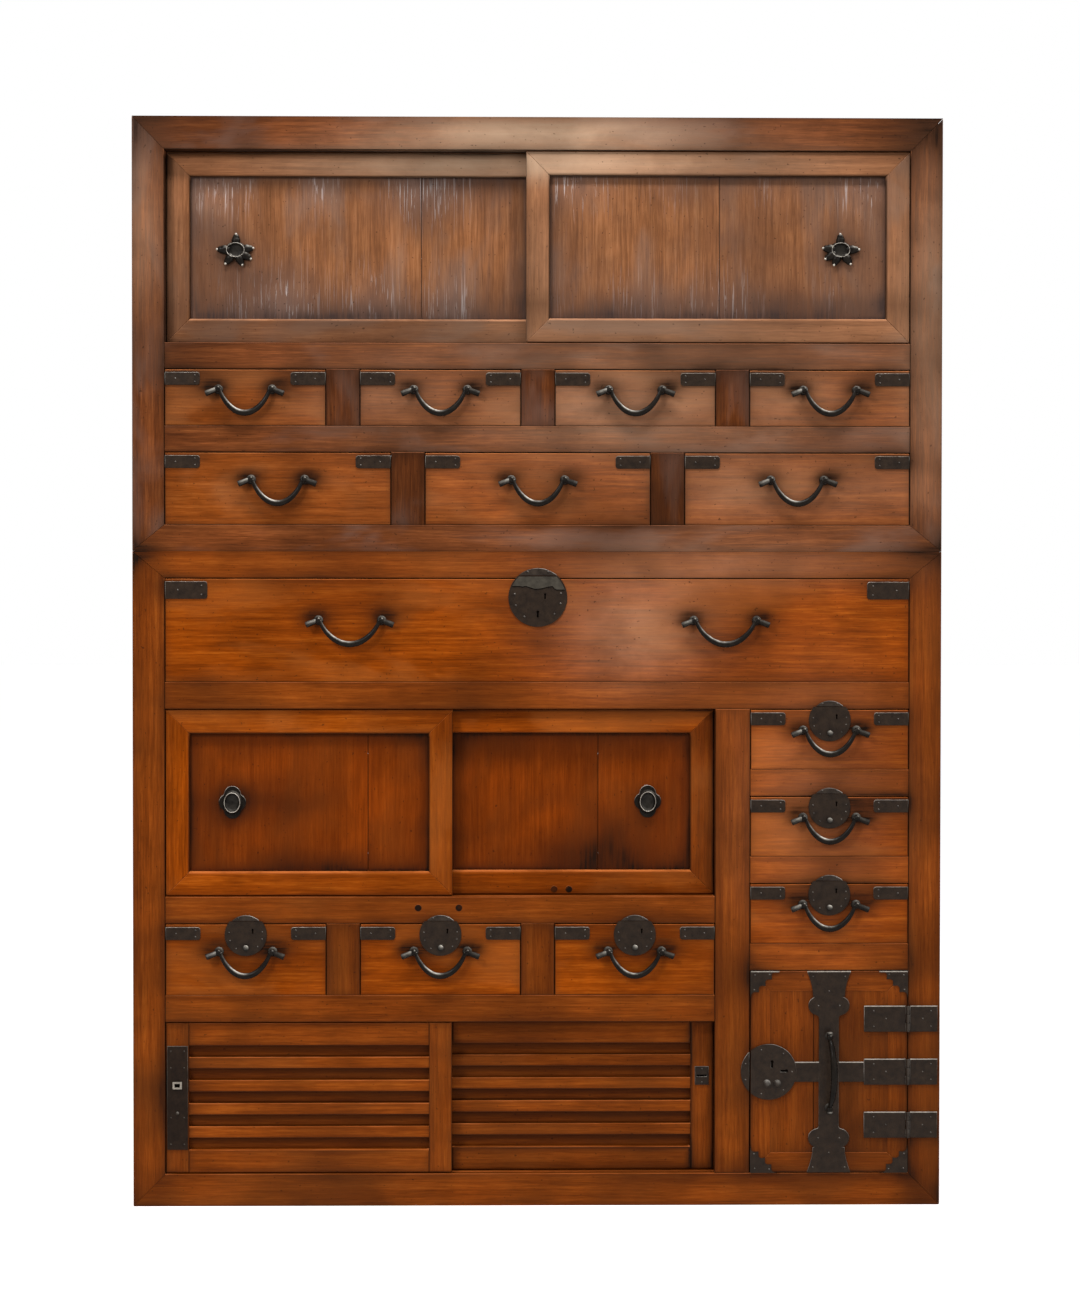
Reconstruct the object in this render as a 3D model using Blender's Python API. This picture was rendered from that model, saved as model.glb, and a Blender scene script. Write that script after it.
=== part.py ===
"""A two-section clothing chest: stacked cases with sliding doors, drawers and an iron-bound hinged door.

Metres, +Z up. The front faces -Y, and the origin is on the floor under the middle of the chest.
"""

import math

import bmesh
import bpy
from mathutils import Matrix, Vector

# Overall case sizes
CASE_WIDTH = 1.212
CASE_DEPTH = 0.455
STILE_WIDTH = 0.048
STILE_DEPTH = 0.048
SIDE_BOARD = 0.022
SHELF_BOARD = 0.012
BACK_BOARD = 0.009
DADO = 0.006

# Upper chest. The sliding doors take the height that the rails and drawers leave.
UPPER_HEIGHT = 0.648
UPPER_TOP_RAIL = 0.049
UPPER_RAIL = 0.039
ROW_1_HEIGHT = 0.085
ROW_2_HEIGHT = 0.109
ROW_1_COUNT = 4
ROW_2_COUNT = 3
DIVIDER_WIDTH = 0.050

# Lower chest. Its panelled doors take the height that the rails and drawers leave.
LOWER_HEIGHT = 0.983
LOWER_RAIL = 0.040
WIDE_DRAWER_HEIGHT = 0.156
SMALL_ROW_HEIGHT = 0.108
SMALL_COUNT = 3
LOUVRE_HEIGHT = 0.229
LOWER_BOTTOM_RAIL = 0.048
PARTITION_WIDTH = 0.052
RIGHT_WIDTH = 0.239
RIGHT_DRAWER_HEIGHT = 0.091
RIGHT_COUNT = 3
RIGHT_RAIL = 0.040

# Fits. GLUE is how far two bodies overlap where they are joined into one piece.
JOINT_GAP = 0.0003
RUN_GAP = 0.0010
TOP_GAP = 0.0014
GLUE = 0.00015

# Drawers
DRAWER_LENGTH = 0.425
DRAWER_FRONT = 0.018
DRAWER_WALL = 0.010
DRAWER_BOTTOM = 0.007
DRAWER_SIDE_DROP = 0.004
GUIDE_HEIGHT = 0.018

# Sliding doors
DOOR_RECESS = 0.004
DOOR_THICKNESS = 0.018
TRACK_SPACING = 0.021
DOOR_FRAME = 0.0355
LOUVRE_FRAME = 0.034
PANEL_RECESS = 0.009
PANEL_BACK_RECESS = 0.003
FRAME_BEVEL = 0.003
TONGUE = 0.008
HEAD_GROOVE = 0.010
CROWN_TONGUE = 0.005
SILL_GROOVE = 0.005
GROOVE_CLEARANCE = 0.0008
DOOR_SHOULDER_GAP = 0.0020
SLAT_COUNT = 4
SLAT_HEIGHT = 0.0172
SLAT_SET_BACK = 0.002
SLAT_THICKNESS = 0.006
LOUVRE_BACK = 0.005

# Iron fittings on the drawers
IRON = 0.0018
IRON_SEAT = 0.0006
SMALL_PLATE_LENGTH = 0.052
SMALL_PLATE_HEIGHT = 0.019
WIDE_PLATE_LENGTH = 0.063
WIDE_PLATE_HEIGHT = 0.026
PLATE_DROP = 0.004
PLATE_CORNER = 0.004
SMALL_LOCK_RADIUS = 0.0315
SMALL_RAIL_LOCK_RADIUS = 0.0295
WIDE_LOCK_RADIUS = 0.044
SMALL_LOCK_DROP = 0.017
WIDE_LOCK_DROP = 0.029
KNOB_RADIUS = 0.005
KNOB_FOOT_RADIUS = 0.0035
KNOB_LENGTH = 0.006
SMALL_KNOB_FALL = 0.0225
WIDE_KNOB_FALL = 0.0315

# Bail handles
HANDLE_STANDOFF = 0.013
BAIL_SPACING = 0.080
WIDE_BAIL_SPACING = 0.0945
BAIL_DROP = 0.0345
BAIL_MIDDLE_RADIUS = 0.0050
BAIL_NECK_RADIUS = 0.0026
STUB_RADIUS = 0.0046
STUB_LENGTH = 0.0145
STUB_ANGLE = math.radians(22)
EYE_RADIUS = 0.0058
EYE_LENGTH = 0.006
EYE_CLEARANCE = 0.0006
NECK_REACH = 0.0045
POST_RADIUS = 0.0030
WASHER_RADIUS = 0.0085
ROW_1_EYE_DROP = 0.031
ROW_2_EYE_DROP = 0.0415
WIDE_EYE_DROP = 0.0634
SMALL_EYE_DROP = 0.042
RIGHT_EYE_DROP = 0.032
WIDE_BAIL_OFFSET = 0.281
BOW_STEPS = 4

# Door pulls
FLOWER_RADIUS = 0.026
FLOWER_PETALS = 6
PETAL_RADIUS = 0.0045
PETAL_ROOT_RADIUS = 0.0040
PETAL_NECK_RADIUS = 0.0027
CUP_RADIUS = 0.0145
CUP_WALL = 0.003
PULL_HEIGHT = 0.0075
OVAL_LOBE_RADIUS = 0.0125
OVAL_LOBE_SIDE = 0.0078
OVAL_LOBE_RISE = 0.0120
OVAL_HALF_WIDTH = 0.0138
OVAL_HALF_HEIGHT = 0.0172
UPPER_PULL_INSET = 0.108
LOWER_PULL_INSET = 0.100

# Louvred door locks
LOCK_STRIP_WIDTH = 0.031
LOCK_STRIP_HEIGHT = 0.156
STAPLE_WIDTH = 0.014
STAPLE_HEIGHT = 0.011
STAPLE_BAR = 0.003
STAPLE_PROUD = 0.006
STAPLE_RISE = 0.019
STRIP_KNOB_FALL = 0.023
STRIP_KNOB_RADIUS = 0.003
STRIP_KNOB_LENGTH = 0.003
CATCH_WIDTH = 0.021
CATCH_HEIGHT = 0.028
CATCH_RISE = 0.029

# Hinged door and its ironwork
SWING_DOOR_THICKNESS = 0.020
SWING_DOOR_FRAME = 0.030
SWING_PANEL_RECESS = 0.0015
SWING_BACK_RECESS = 0.006
SWING_GAP = 0.0018
STRAP_WIDTH = 0.030
STRAP_FLARE = 0.066
STRAP_WAIST = 0.048
STRAP_LOBE = 0.031
FLARE_HEIGHT = 0.038
LOBE_HEIGHT = 0.028
SWING_LOCK_RADIUS = 0.042
SWING_LOCK_INSET = 0.029
SWING_BOSS_RADIUS = 0.004
CORNER_PLATE = 0.042
CORNER_BOW = 0.034
HINGE_HEIGHT = 0.039
HINGE_OFFSET = 0.080
DOOR_LEAF = 0.066
CASE_LEAF = 0.039
HINGE_PROUD = 0.0036
TAB_LIFT = 0.0006
KNUCKLE_RADIUS = 0.0030
PIN_RADIUS = 0.0014
PIN_CLEARANCE = 0.0004
PULL_SPACING = 0.108
PULL_BOW = 0.022
PULL_LEAN = math.radians(18)
PULL_RADIUS = 0.0042
BUTTON_LENGTH = 0.0026

# Derived places
UPPER_DOOR_HEIGHT = UPPER_HEIGHT - UPPER_TOP_RAIL - ROW_1_HEIGHT - ROW_2_HEIGHT - 3 * UPPER_RAIL
LOWER_DRAWERS = WIDE_DRAWER_HEIGHT + SMALL_ROW_HEIGHT
LOWER_DOOR_HEIGHT = LOWER_HEIGHT - LOWER_DRAWERS - LOUVRE_HEIGHT - 4 * LOWER_RAIL - LOWER_BOTTOM_RAIL
FITTING_PROUD = HANDLE_STANDOFF + PULL_BOW * math.cos(PULL_LEAN) + PULL_RADIUS
FRONT = (FITTING_PROUD - CASE_DEPTH) / 2
BACK = FRONT + CASE_DEPTH
STILE_BACK = FRONT + STILE_DEPTH
BOARD_FRONT = STILE_BACK + JOINT_GAP
BOARD_BACK = BACK - BACK_BOARD - JOINT_GAP
INNER_LEFT = -CASE_WIDTH / 2 + STILE_WIDTH
INNER_RIGHT = CASE_WIDTH / 2 - STILE_WIDTH
PANEL_LEFT = -CASE_WIDTH / 2 + SIDE_BOARD
PANEL_RIGHT = CASE_WIDTH / 2 - SIDE_BOARD
PARTITION_RIGHT = INNER_RIGHT - RIGHT_WIDTH
PARTITION_LEFT = PARTITION_RIGHT - PARTITION_WIDTH
PARTITION_MIDDLE = (PARTITION_LEFT + PARTITION_RIGHT) / 2
FRONT_TRACK = FRONT + DOOR_RECESS
BACK_TRACK = FRONT_TRACK + TRACK_SPACING

UPPER_BASE = LOWER_HEIGHT + JOINT_GAP
ROW_2_FLOOR = UPPER_BASE + UPPER_RAIL
ROW_1_FLOOR = ROW_2_FLOOR + ROW_2_HEIGHT + UPPER_RAIL
UPPER_DOOR_FLOOR = ROW_1_FLOOR + ROW_1_HEIGHT + UPPER_RAIL
UPPER_DOOR_HEAD = UPPER_DOOR_FLOOR + UPPER_DOOR_HEIGHT
UPPER_TOP = UPPER_BASE + UPPER_HEIGHT
LOUVRE_FLOOR = LOWER_BOTTOM_RAIL
SMALL_FLOOR = LOUVRE_FLOOR + LOUVRE_HEIGHT + LOWER_RAIL
LOWER_DOOR_FLOOR = SMALL_FLOOR + SMALL_ROW_HEIGHT + LOWER_RAIL
WIDE_FLOOR = LOWER_DOOR_FLOOR + LOWER_DOOR_HEIGHT + LOWER_RAIL
RIGHT_HEAD = WIDE_FLOOR - LOWER_RAIL
RIGHT_PITCH = RIGHT_DRAWER_HEIGHT + RIGHT_RAIL
RIGHT_FLOORS = [RIGHT_HEAD - RIGHT_DRAWER_HEIGHT - i * RIGHT_PITCH for i in range(RIGHT_COUNT)]
SWING_HEAD = RIGHT_FLOORS[-1] - RIGHT_RAIL
SWING_FLOOR = LOWER_BOTTOM_RAIL


def clear_scene():
    for obj in list(bpy.data.objects):
        bpy.data.objects.remove(obj)


def new_collection(name):
    collection = bpy.data.collections.new(name)
    bpy.context.scene.collection.children.link(collection)
    return collection


def material(name, colour, roughness, metallic=0.0):
    made = bpy.data.materials.new(name)
    made.use_nodes = True
    shader = made.node_tree.nodes["Principled BSDF"]
    shader.inputs["Base Color"].default_value = (*colour, 1.0)
    shader.inputs["Roughness"].default_value = roughness
    shader.inputs["Metallic"].default_value = metallic
    return made


clear_scene()
CHEST = new_collection("clothing_chest")
CUTTERS = new_collection("cutters")
CUTTERS.hide_render = True
UPPER_WOOD = material("upper_case_wood", (0.16, 0.060, 0.026), 0.45)
LOWER_WOOD = material("lower_case_wood", (0.24, 0.075, 0.018), 0.42)
DRAWER_WOOD = material("drawer_wood", (0.30, 0.095, 0.022), 0.42)
PANEL_WOOD = material("door_panel_wood", (0.13, 0.050, 0.022), 0.55)
IRON_FINISH = material("black_iron", (0.022, 0.019, 0.016), 0.45, 0.8)


def helper(name, mesh, finish):
    """A construction body, kept in the cutters' collection until it is joined or cut."""
    mesh.materials.append(finish)
    obj = bpy.data.objects.new(name, mesh)
    obj.hide_render = True
    obj.display_type = "WIRE"
    CUTTERS.objects.link(obj)
    return obj


def box(x, y, z, finish, flare=0.0):
    """A block between pairs of X, Y and Z. Its front face grows by flare on every side."""
    bm = bmesh.new()
    bmesh.ops.create_cube(bm, size=1.0)
    middle = Vector(((x[0] + x[1]) / 2, (y[0] + y[1]) / 2, (z[0] + z[1]) / 2))
    span = Vector((x[1] - x[0], y[1] - y[0], z[1] - z[0]))
    for vert in bm.verts:
        grow = flare if vert.co.y < 0 else 0.0
        side = Vector((math.copysign(grow, vert.co.x), 0.0, math.copysign(grow, vert.co.z)))
        vert.co = middle + Vector(a * b for a, b in zip(vert.co, span)) + side
    mesh = bpy.data.meshes.new("box")
    bm.to_mesh(mesh)
    bm.free()
    return helper("box", mesh, finish)


def rod(start, end, radius, finish, end_radius=None, sides=12):
    """A round bar, or a cone, between two points."""
    start, end = Vector(start), Vector(end)
    along = end - start
    turn = Vector((0, 0, 1)).rotation_difference(along).to_matrix().to_4x4()
    place = Matrix.Translation((start + end) / 2) @ turn
    bm = bmesh.new()
    bmesh.ops.create_cone(
        bm,
        cap_ends=True,
        segments=sides,
        radius1=radius,
        radius2=radius if end_radius is None else end_radius,
        depth=along.length,
        matrix=place,
    )
    mesh = bpy.data.meshes.new("rod")
    bm.to_mesh(mesh)
    bm.free()
    return helper("rod", mesh, finish)


def ball(centre, radius, finish, sides=8):
    bm = bmesh.new()
    bmesh.ops.create_uvsphere(
        bm, u_segments=sides, v_segments=sides // 2, radius=radius, matrix=Matrix.Translation(centre)
    )
    mesh = bpy.data.meshes.new("ball")
    bm.to_mesh(mesh)
    bm.free()
    return helper("ball", mesh, finish)


def mesh_of(obj):
    graph = bpy.context.evaluated_depsgraph_get()
    return bpy.data.meshes.new_from_object(obj.evaluated_get(graph))


def from_curve(curve, matrix, finish):
    """A closed mesh body made from a curve, with its caps welded to its sides."""
    obj = bpy.data.objects.new("curve", curve)
    obj.matrix_world = matrix
    CUTTERS.objects.link(obj)
    bpy.context.view_layer.update()
    mesh = mesh_of(obj)
    bm = bmesh.new()
    bm.from_mesh(mesh)
    bmesh.ops.remove_doubles(bm, verts=bm.verts, dist=1e-6)
    bmesh.ops.transform(bm, matrix=matrix, verts=bm.verts)
    bmesh.ops.recalc_face_normals(bm, faces=bm.faces)
    bm.to_mesh(mesh)
    bm.free()
    mesh.materials.clear()
    bpy.data.objects.remove(obj)
    return helper("outline", mesh, finish)


def plate(outline, y, finish):
    """A flat plate: an outline of (x, z) points, extruded between a pair of Y."""
    curve = bpy.data.curves.new("outline", "CURVE")
    curve.dimensions = "2D"
    curve.fill_mode = "BOTH"
    curve.extrude = (y[1] - y[0]) / 2
    spline = curve.splines.new("POLY")
    spline.points.add(len(outline) - 1)
    for point, (x, z) in zip(spline.points, outline):
        point.co = (x, z, 0.0, 1.0)
    spline.use_cyclic_u = True
    matrix = Matrix.Translation((0.0, (y[0] + y[1]) / 2, 0.0)) @ Matrix.Rotation(math.pi / 2, 4, "X")
    return from_curve(curve, matrix, finish)


def bar(points, radii, finish, resolution=1):
    """A round bar of changing thickness along a list of points."""
    curve = bpy.data.curves.new("bar", "CURVE")
    curve.dimensions = "3D"
    curve.bevel_depth = 1.0
    curve.bevel_resolution = resolution
    curve.use_fill_caps = True
    spline = curve.splines.new("POLY")
    spline.points.add(len(points) - 1)
    for point, place, radius in zip(spline.points, points, radii):
        point.co = (*place, 1.0)
        point.radius = radius
    return from_curve(curve, Matrix.Identity(4), finish)


def arc(centre, radius, start, end, steps):
    """Points of (x, z) along an arc, both ends included. Angles are in degrees."""
    angles = [math.radians(start + (end - start) * i / steps) for i in range(steps + 1)]
    return [(centre[0] + radius * math.cos(a), centre[1] + radius * math.sin(a)) for a in angles]


def disc_above(centre, radius, level, steps=8):
    """The part of a disc's outline that lies above a level line."""
    cut = math.degrees(math.asin((level - centre[1]) / radius))
    return arc(centre, radius, cut, 180 - cut, steps)


def disc_below(centre, radius, level, steps=14):
    cut = math.degrees(math.asin((level - centre[1]) / radius))
    return arc(centre, radius, -180 - cut, cut, steps)


def boolean(obj, others, operation):
    """The mesh of obj joined with, or cut by, the other bodies, which are used up."""
    group = bpy.data.collections.new("operands")
    for other in others:
        group.objects.link(other)
    modifier = obj.modifiers.new(operation.lower(), "BOOLEAN")
    modifier.operation = operation
    modifier.solver = "EXACT"
    modifier.operand_type = "COLLECTION"
    modifier.collection = group
    modifier.material_mode = "TRANSFER"
    bpy.context.view_layer.update()
    mesh = mesh_of(obj)
    obj.modifiers.clear()
    obj.data = mesh
    for other in others:
        bpy.data.objects.remove(other)
    bpy.data.collections.remove(group)


def piece(name, body, add=(), cut=(), origin=(0.0, 0.0, 0.0), more=()):
    """A named sub-part: the body joined with add, cut by cut, then joined with more."""
    if add:
        boolean(body, list(add), "UNION")
    if cut:
        boolean(body, list(cut), "DIFFERENCE")
    if more:
        boolean(body, list(more), "UNION")
    body.data.transform(Matrix.Translation(-Vector(origin)))
    body.location = origin
    body.name = name
    body.data.name = name
    body.hide_render = False
    body.display_type = "TEXTURED"
    body.data.shade_smooth()
    body.data.set_sharp_from_angle(angle=math.radians(35))
    CUTTERS.objects.unlink(body)
    CHEST.objects.link(body)
    return body


def set_origin(obj, origin):
    obj.data.transform(Matrix.Translation(-Vector(origin)))
    obj.data.name = obj.name
    obj.location = origin


def side_panel(name, outer, sign, base, top, bottom_rail, top_rail, floors, finish):
    """A case side: a front stile mitred at both ends, with a board behind it housed for the shelves."""
    inner = outer - sign * STILE_WIDTH
    slack = JOINT_GAP * 2
    stile = plate(
        [
            (outer, base + slack),
            (inner, base + bottom_rail + slack),
            (inner, top - top_rail - slack),
            (outer, top - slack),
        ],
        (FRONT, STILE_BACK),
        finish,
    )
    board_inner = outer - sign * SIDE_BOARD
    board = box(sorted((outer, board_inner)), (STILE_BACK - GLUE, BACK), (base, top), finish)
    housing = sorted((board_inner - sign * JOINT_GAP, board_inner + sign * DADO))
    cuts = [
        box(
            housing,
            (STILE_BACK, BACK - BACK_BOARD),
            (floor - thickness - JOINT_GAP, floor + JOINT_GAP),
            finish,
        )
        for floor, thickness in floors
    ]
    return piece(name, stile, [board], cuts)


def mitred_rail(base, top, mitre_at_top, finish):
    """A front rail of the outer frame, whose ends are mitred into the stiles."""
    outer_z, inner_z = (top, base) if mitre_at_top else (base, top)
    face = plate(
        [
            (-CASE_WIDTH / 2, outer_z),
            (CASE_WIDTH / 2, outer_z),
            (INNER_RIGHT, inner_z),
            (INNER_LEFT, inner_z),
        ],
        (FRONT, STILE_BACK - JOINT_GAP),
        finish,
    )
    core = box((INNER_LEFT, INNER_RIGHT), (FRONT + JOINT_GAP, BOARD_FRONT), (base, top), finish)
    boolean(face, [core], "UNION")
    return face


def plain_rail(x, base, top, finish):
    return box((x[0] + JOINT_GAP, x[1] - JOINT_GAP), (FRONT, BOARD_FRONT), (base, top), finish)


def shelf_board(x, floor, thickness, finish):
    ends = (x[0] - DADO + JOINT_GAP, x[1] + DADO - JOINT_GAP)
    return box(ends, (BOARD_FRONT - GLUE, BOARD_BACK), (floor - thickness, floor), finish)


def guide(x, floor, finish):
    """A strip on a shelf that a drawer's side runs along."""
    return box(x, (BOARD_FRONT - GLUE, BOARD_BACK), (floor - GLUE, floor + GUIDE_HEIGHT), finish)


def dividers(x, count, floor, height, finish):
    """Upright posts between drawers, each with its guide strip behind."""
    width = drawer_width(x, count)
    made = []
    for i in range(1, count):
        left = x[0] + i * width + (i - 1) * DIVIDER_WIDTH
        post = (left, left + DIVIDER_WIDTH)
        made.append(box(post, (FRONT, BOARD_FRONT), (floor - GLUE, floor + height - JOINT_GAP), finish))
        made.append(guide(post, floor, finish))
    return made


def drawer_width(x, count):
    return (x[1] - x[0] - (count - 1) * DIVIDER_WIDTH) / count


def drawer_bays(x, count):
    width = drawer_width(x, count)
    lefts = [x[0] + i * (width + DIVIDER_WIDTH) for i in range(count)]
    return [(left, left + width) for left in lefts]


def track_grooves(x, level, depth, finish):
    """The two grooves that a pair of sliding doors runs in, cut up or down from a level."""
    ends = (x[0] - JOINT_GAP, x[1] + JOINT_GAP)
    made = []
    for track in (FRONT_TRACK, BACK_TRACK):
        middle = track + DOOR_THICKNESS / 2
        half = TONGUE / 2 + GROOVE_CLEARANCE
        made.append(box(ends, (middle - half, middle + half), (level - depth, level + depth), finish))
    return made


def rail_lock(x, level, drop, radius):
    """The part of a round lock plate that is nailed to the rail above its drawer."""
    outline = disc_above((x, level - drop), radius, level + JOINT_GAP)
    return plate(outline, (FRONT - IRON, FRONT + IRON_SEAT), IRON_FINISH)


def upper_case():
    x = (INNER_LEFT, INNER_RIGHT)
    boards = (PANEL_LEFT, PANEL_RIGHT)
    ends = ((PANEL_LEFT + JOINT_GAP, INNER_LEFT), (INNER_RIGHT, PANEL_RIGHT - JOINT_GAP))
    floors = [
        (ROW_2_FLOOR, SIDE_BOARD),
        (ROW_1_FLOOR, SHELF_BOARD),
        (UPPER_DOOR_FLOOR, SHELF_BOARD),
        (UPPER_TOP, SIDE_BOARD),
    ]
    for name, outer, sign in (("left", -CASE_WIDTH / 2, -1), ("right", CASE_WIDTH / 2, 1)):
        levels = (UPPER_BASE, UPPER_TOP, UPPER_RAIL, UPPER_TOP_RAIL)
        side_panel(f"upper_{name}_side", outer, sign, *levels, floors, UPPER_WOOD)
    piece(
        "upper_top",
        mitred_rail(UPPER_DOOR_HEAD, UPPER_TOP, True, UPPER_WOOD),
        [shelf_board(boards, UPPER_TOP, SIDE_BOARD, UPPER_WOOD)],
        track_grooves(x, UPPER_DOOR_HEAD, HEAD_GROOVE, UPPER_WOOD),
    )
    piece(
        "upper_door_shelf",
        plain_rail(x, UPPER_DOOR_FLOOR - UPPER_RAIL, UPPER_DOOR_FLOOR, UPPER_WOOD),
        [shelf_board(boards, UPPER_DOOR_FLOOR, SHELF_BOARD, UPPER_WOOD)],
        track_grooves(x, UPPER_DOOR_FLOOR, SILL_GROOVE, UPPER_WOOD),
    )
    piece(
        "upper_drawer_shelf",
        plain_rail(x, ROW_1_FLOOR - UPPER_RAIL, ROW_1_FLOOR, UPPER_WOOD),
        [shelf_board(boards, ROW_1_FLOOR, SHELF_BOARD, UPPER_WOOD)]
        + [guide(end, ROW_1_FLOOR, UPPER_WOOD) for end in ends]
        + dividers(x, ROW_1_COUNT, ROW_1_FLOOR, ROW_1_HEIGHT, UPPER_WOOD),
    )
    piece(
        "upper_bottom",
        mitred_rail(UPPER_BASE, ROW_2_FLOOR, False, UPPER_WOOD),
        [shelf_board(boards, ROW_2_FLOOR, SIDE_BOARD, UPPER_WOOD)]
        + [guide(end, ROW_2_FLOOR, UPPER_WOOD) for end in ends]
        + dividers(x, ROW_2_COUNT, ROW_2_FLOOR, ROW_2_HEIGHT, UPPER_WOOD),
    )
    back_board("upper_back", UPPER_BASE, UPPER_TOP, UPPER_WOOD)


def back_board(name, base, top, finish):
    x = (PANEL_LEFT + JOINT_GAP, PANEL_RIGHT - JOINT_GAP)
    piece(name, box(x, (BACK - BACK_BOARD, BACK), (base, top), finish))


def lower_case():
    x = (INNER_LEFT, INNER_RIGHT)
    left = (INNER_LEFT, PARTITION_LEFT)
    right = (PARTITION_RIGHT, INNER_RIGHT)
    half_board = SIDE_BOARD / 2
    boards = (PANEL_LEFT, PANEL_RIGHT)
    left_boards = (PANEL_LEFT, PARTITION_MIDDLE - half_board)
    right_boards = (PARTITION_MIDDLE + half_board, PANEL_RIGHT)
    left_end = (PANEL_LEFT + JOINT_GAP, INNER_LEFT)
    right_end = (INNER_RIGHT, PANEL_RIGHT - JOINT_GAP)
    partition_ends = (
        (PARTITION_LEFT, left_boards[1] - JOINT_GAP),
        (right_boards[0] + JOINT_GAP, PARTITION_RIGHT),
    )
    shared = [(LOUVRE_FLOOR, SIDE_BOARD), (WIDE_FLOOR, SHELF_BOARD), (LOWER_HEIGHT, SIDE_BOARD)]
    left_floors = [(SMALL_FLOOR, SHELF_BOARD), (LOWER_DOOR_FLOOR, SHELF_BOARD)]
    right_floors = [(floor, SHELF_BOARD) for floor in RIGHT_FLOORS]
    for name, outer, sign, own in (
        ("left", -CASE_WIDTH / 2, -1, left_floors),
        ("right", CASE_WIDTH / 2, 1, right_floors),
    ):
        levels = (0.0, LOWER_HEIGHT, LOWER_BOTTOM_RAIL, LOWER_RAIL)
        side_panel(f"lower_{name}_side", outer, sign, *levels, shared + own, LOWER_WOOD)
    top = mitred_rail(LOWER_HEIGHT - LOWER_RAIL, LOWER_HEIGHT, True, LOWER_WOOD)
    piece(
        "lower_top",
        top,
        [
            shelf_board(boards, LOWER_HEIGHT, SIDE_BOARD, LOWER_WOOD),
            rail_lock(0.0, LOWER_HEIGHT - LOWER_RAIL, WIDE_LOCK_DROP, WIDE_LOCK_RADIUS),
        ],
    )
    piece(
        "wide_drawer_shelf",
        plain_rail(x, WIDE_FLOOR - LOWER_RAIL, WIDE_FLOOR, LOWER_WOOD),
        [
            shelf_board(boards, WIDE_FLOOR, SHELF_BOARD, LOWER_WOOD),
            guide(left_end, WIDE_FLOOR, LOWER_WOOD),
            guide(right_end, WIDE_FLOOR, LOWER_WOOD),
            rail_lock(sum(right) / 2, RIGHT_HEAD, SMALL_LOCK_DROP, SMALL_RAIL_LOCK_RADIUS),
        ],
        track_grooves(left, RIGHT_HEAD, HEAD_GROOVE, LOWER_WOOD),
    )
    partition(left_floors, right_floors)
    piece(
        "sliding_door_shelf",
        plain_rail(left, LOWER_DOOR_FLOOR - LOWER_RAIL, LOWER_DOOR_FLOOR, LOWER_WOOD),
        [shelf_board(left_boards, LOWER_DOOR_FLOOR, SHELF_BOARD, LOWER_WOOD)]
        + [
            rail_lock(sum(bay) / 2, LOWER_DOOR_FLOOR - LOWER_RAIL, SMALL_LOCK_DROP, SMALL_RAIL_LOCK_RADIUS)
            for bay in drawer_bays(left, SMALL_COUNT)
        ],
        track_grooves(left, LOWER_DOOR_FLOOR, SILL_GROOVE, LOWER_WOOD),
    )
    piece(
        "small_drawer_shelf",
        plain_rail(left, SMALL_FLOOR - LOWER_RAIL, SMALL_FLOOR, LOWER_WOOD),
        [
            shelf_board(left_boards, SMALL_FLOOR, SHELF_BOARD, LOWER_WOOD),
            guide(left_end, SMALL_FLOOR, LOWER_WOOD),
            guide(partition_ends[0], SMALL_FLOOR, LOWER_WOOD),
        ]
        + dividers(left, SMALL_COUNT, SMALL_FLOOR, SMALL_ROW_HEIGHT, LOWER_WOOD),
        track_grooves(left, SMALL_FLOOR - LOWER_RAIL, HEAD_GROOVE, LOWER_WOOD),
    )
    for i, floor in enumerate(RIGHT_FLOORS):
        parts = [
            shelf_board(right_boards, floor, SHELF_BOARD, LOWER_WOOD),
            guide(partition_ends[1], floor, LOWER_WOOD),
            guide(right_end, floor, LOWER_WOOD),
        ]
        if i < RIGHT_COUNT - 1:
            lock = (SMALL_LOCK_DROP, SMALL_RAIL_LOCK_RADIUS)
            parts.append(rail_lock(sum(right) / 2, floor - RIGHT_RAIL, *lock))
        piece(f"right_shelf_{i + 1}", plain_rail(right, floor - RIGHT_RAIL, floor, LOWER_WOOD), parts)
    piece(
        "lower_bottom",
        mitred_rail(0.0, LOUVRE_FLOOR, False, LOWER_WOOD),
        [shelf_board(boards, LOUVRE_FLOOR, SIDE_BOARD, LOWER_WOOD)],
        track_grooves(left, LOUVRE_FLOOR, SILL_GROOVE, LOWER_WOOD),
    )
    back_board("lower_back", 0.0, LOWER_HEIGHT, LOWER_WOOD)


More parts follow.
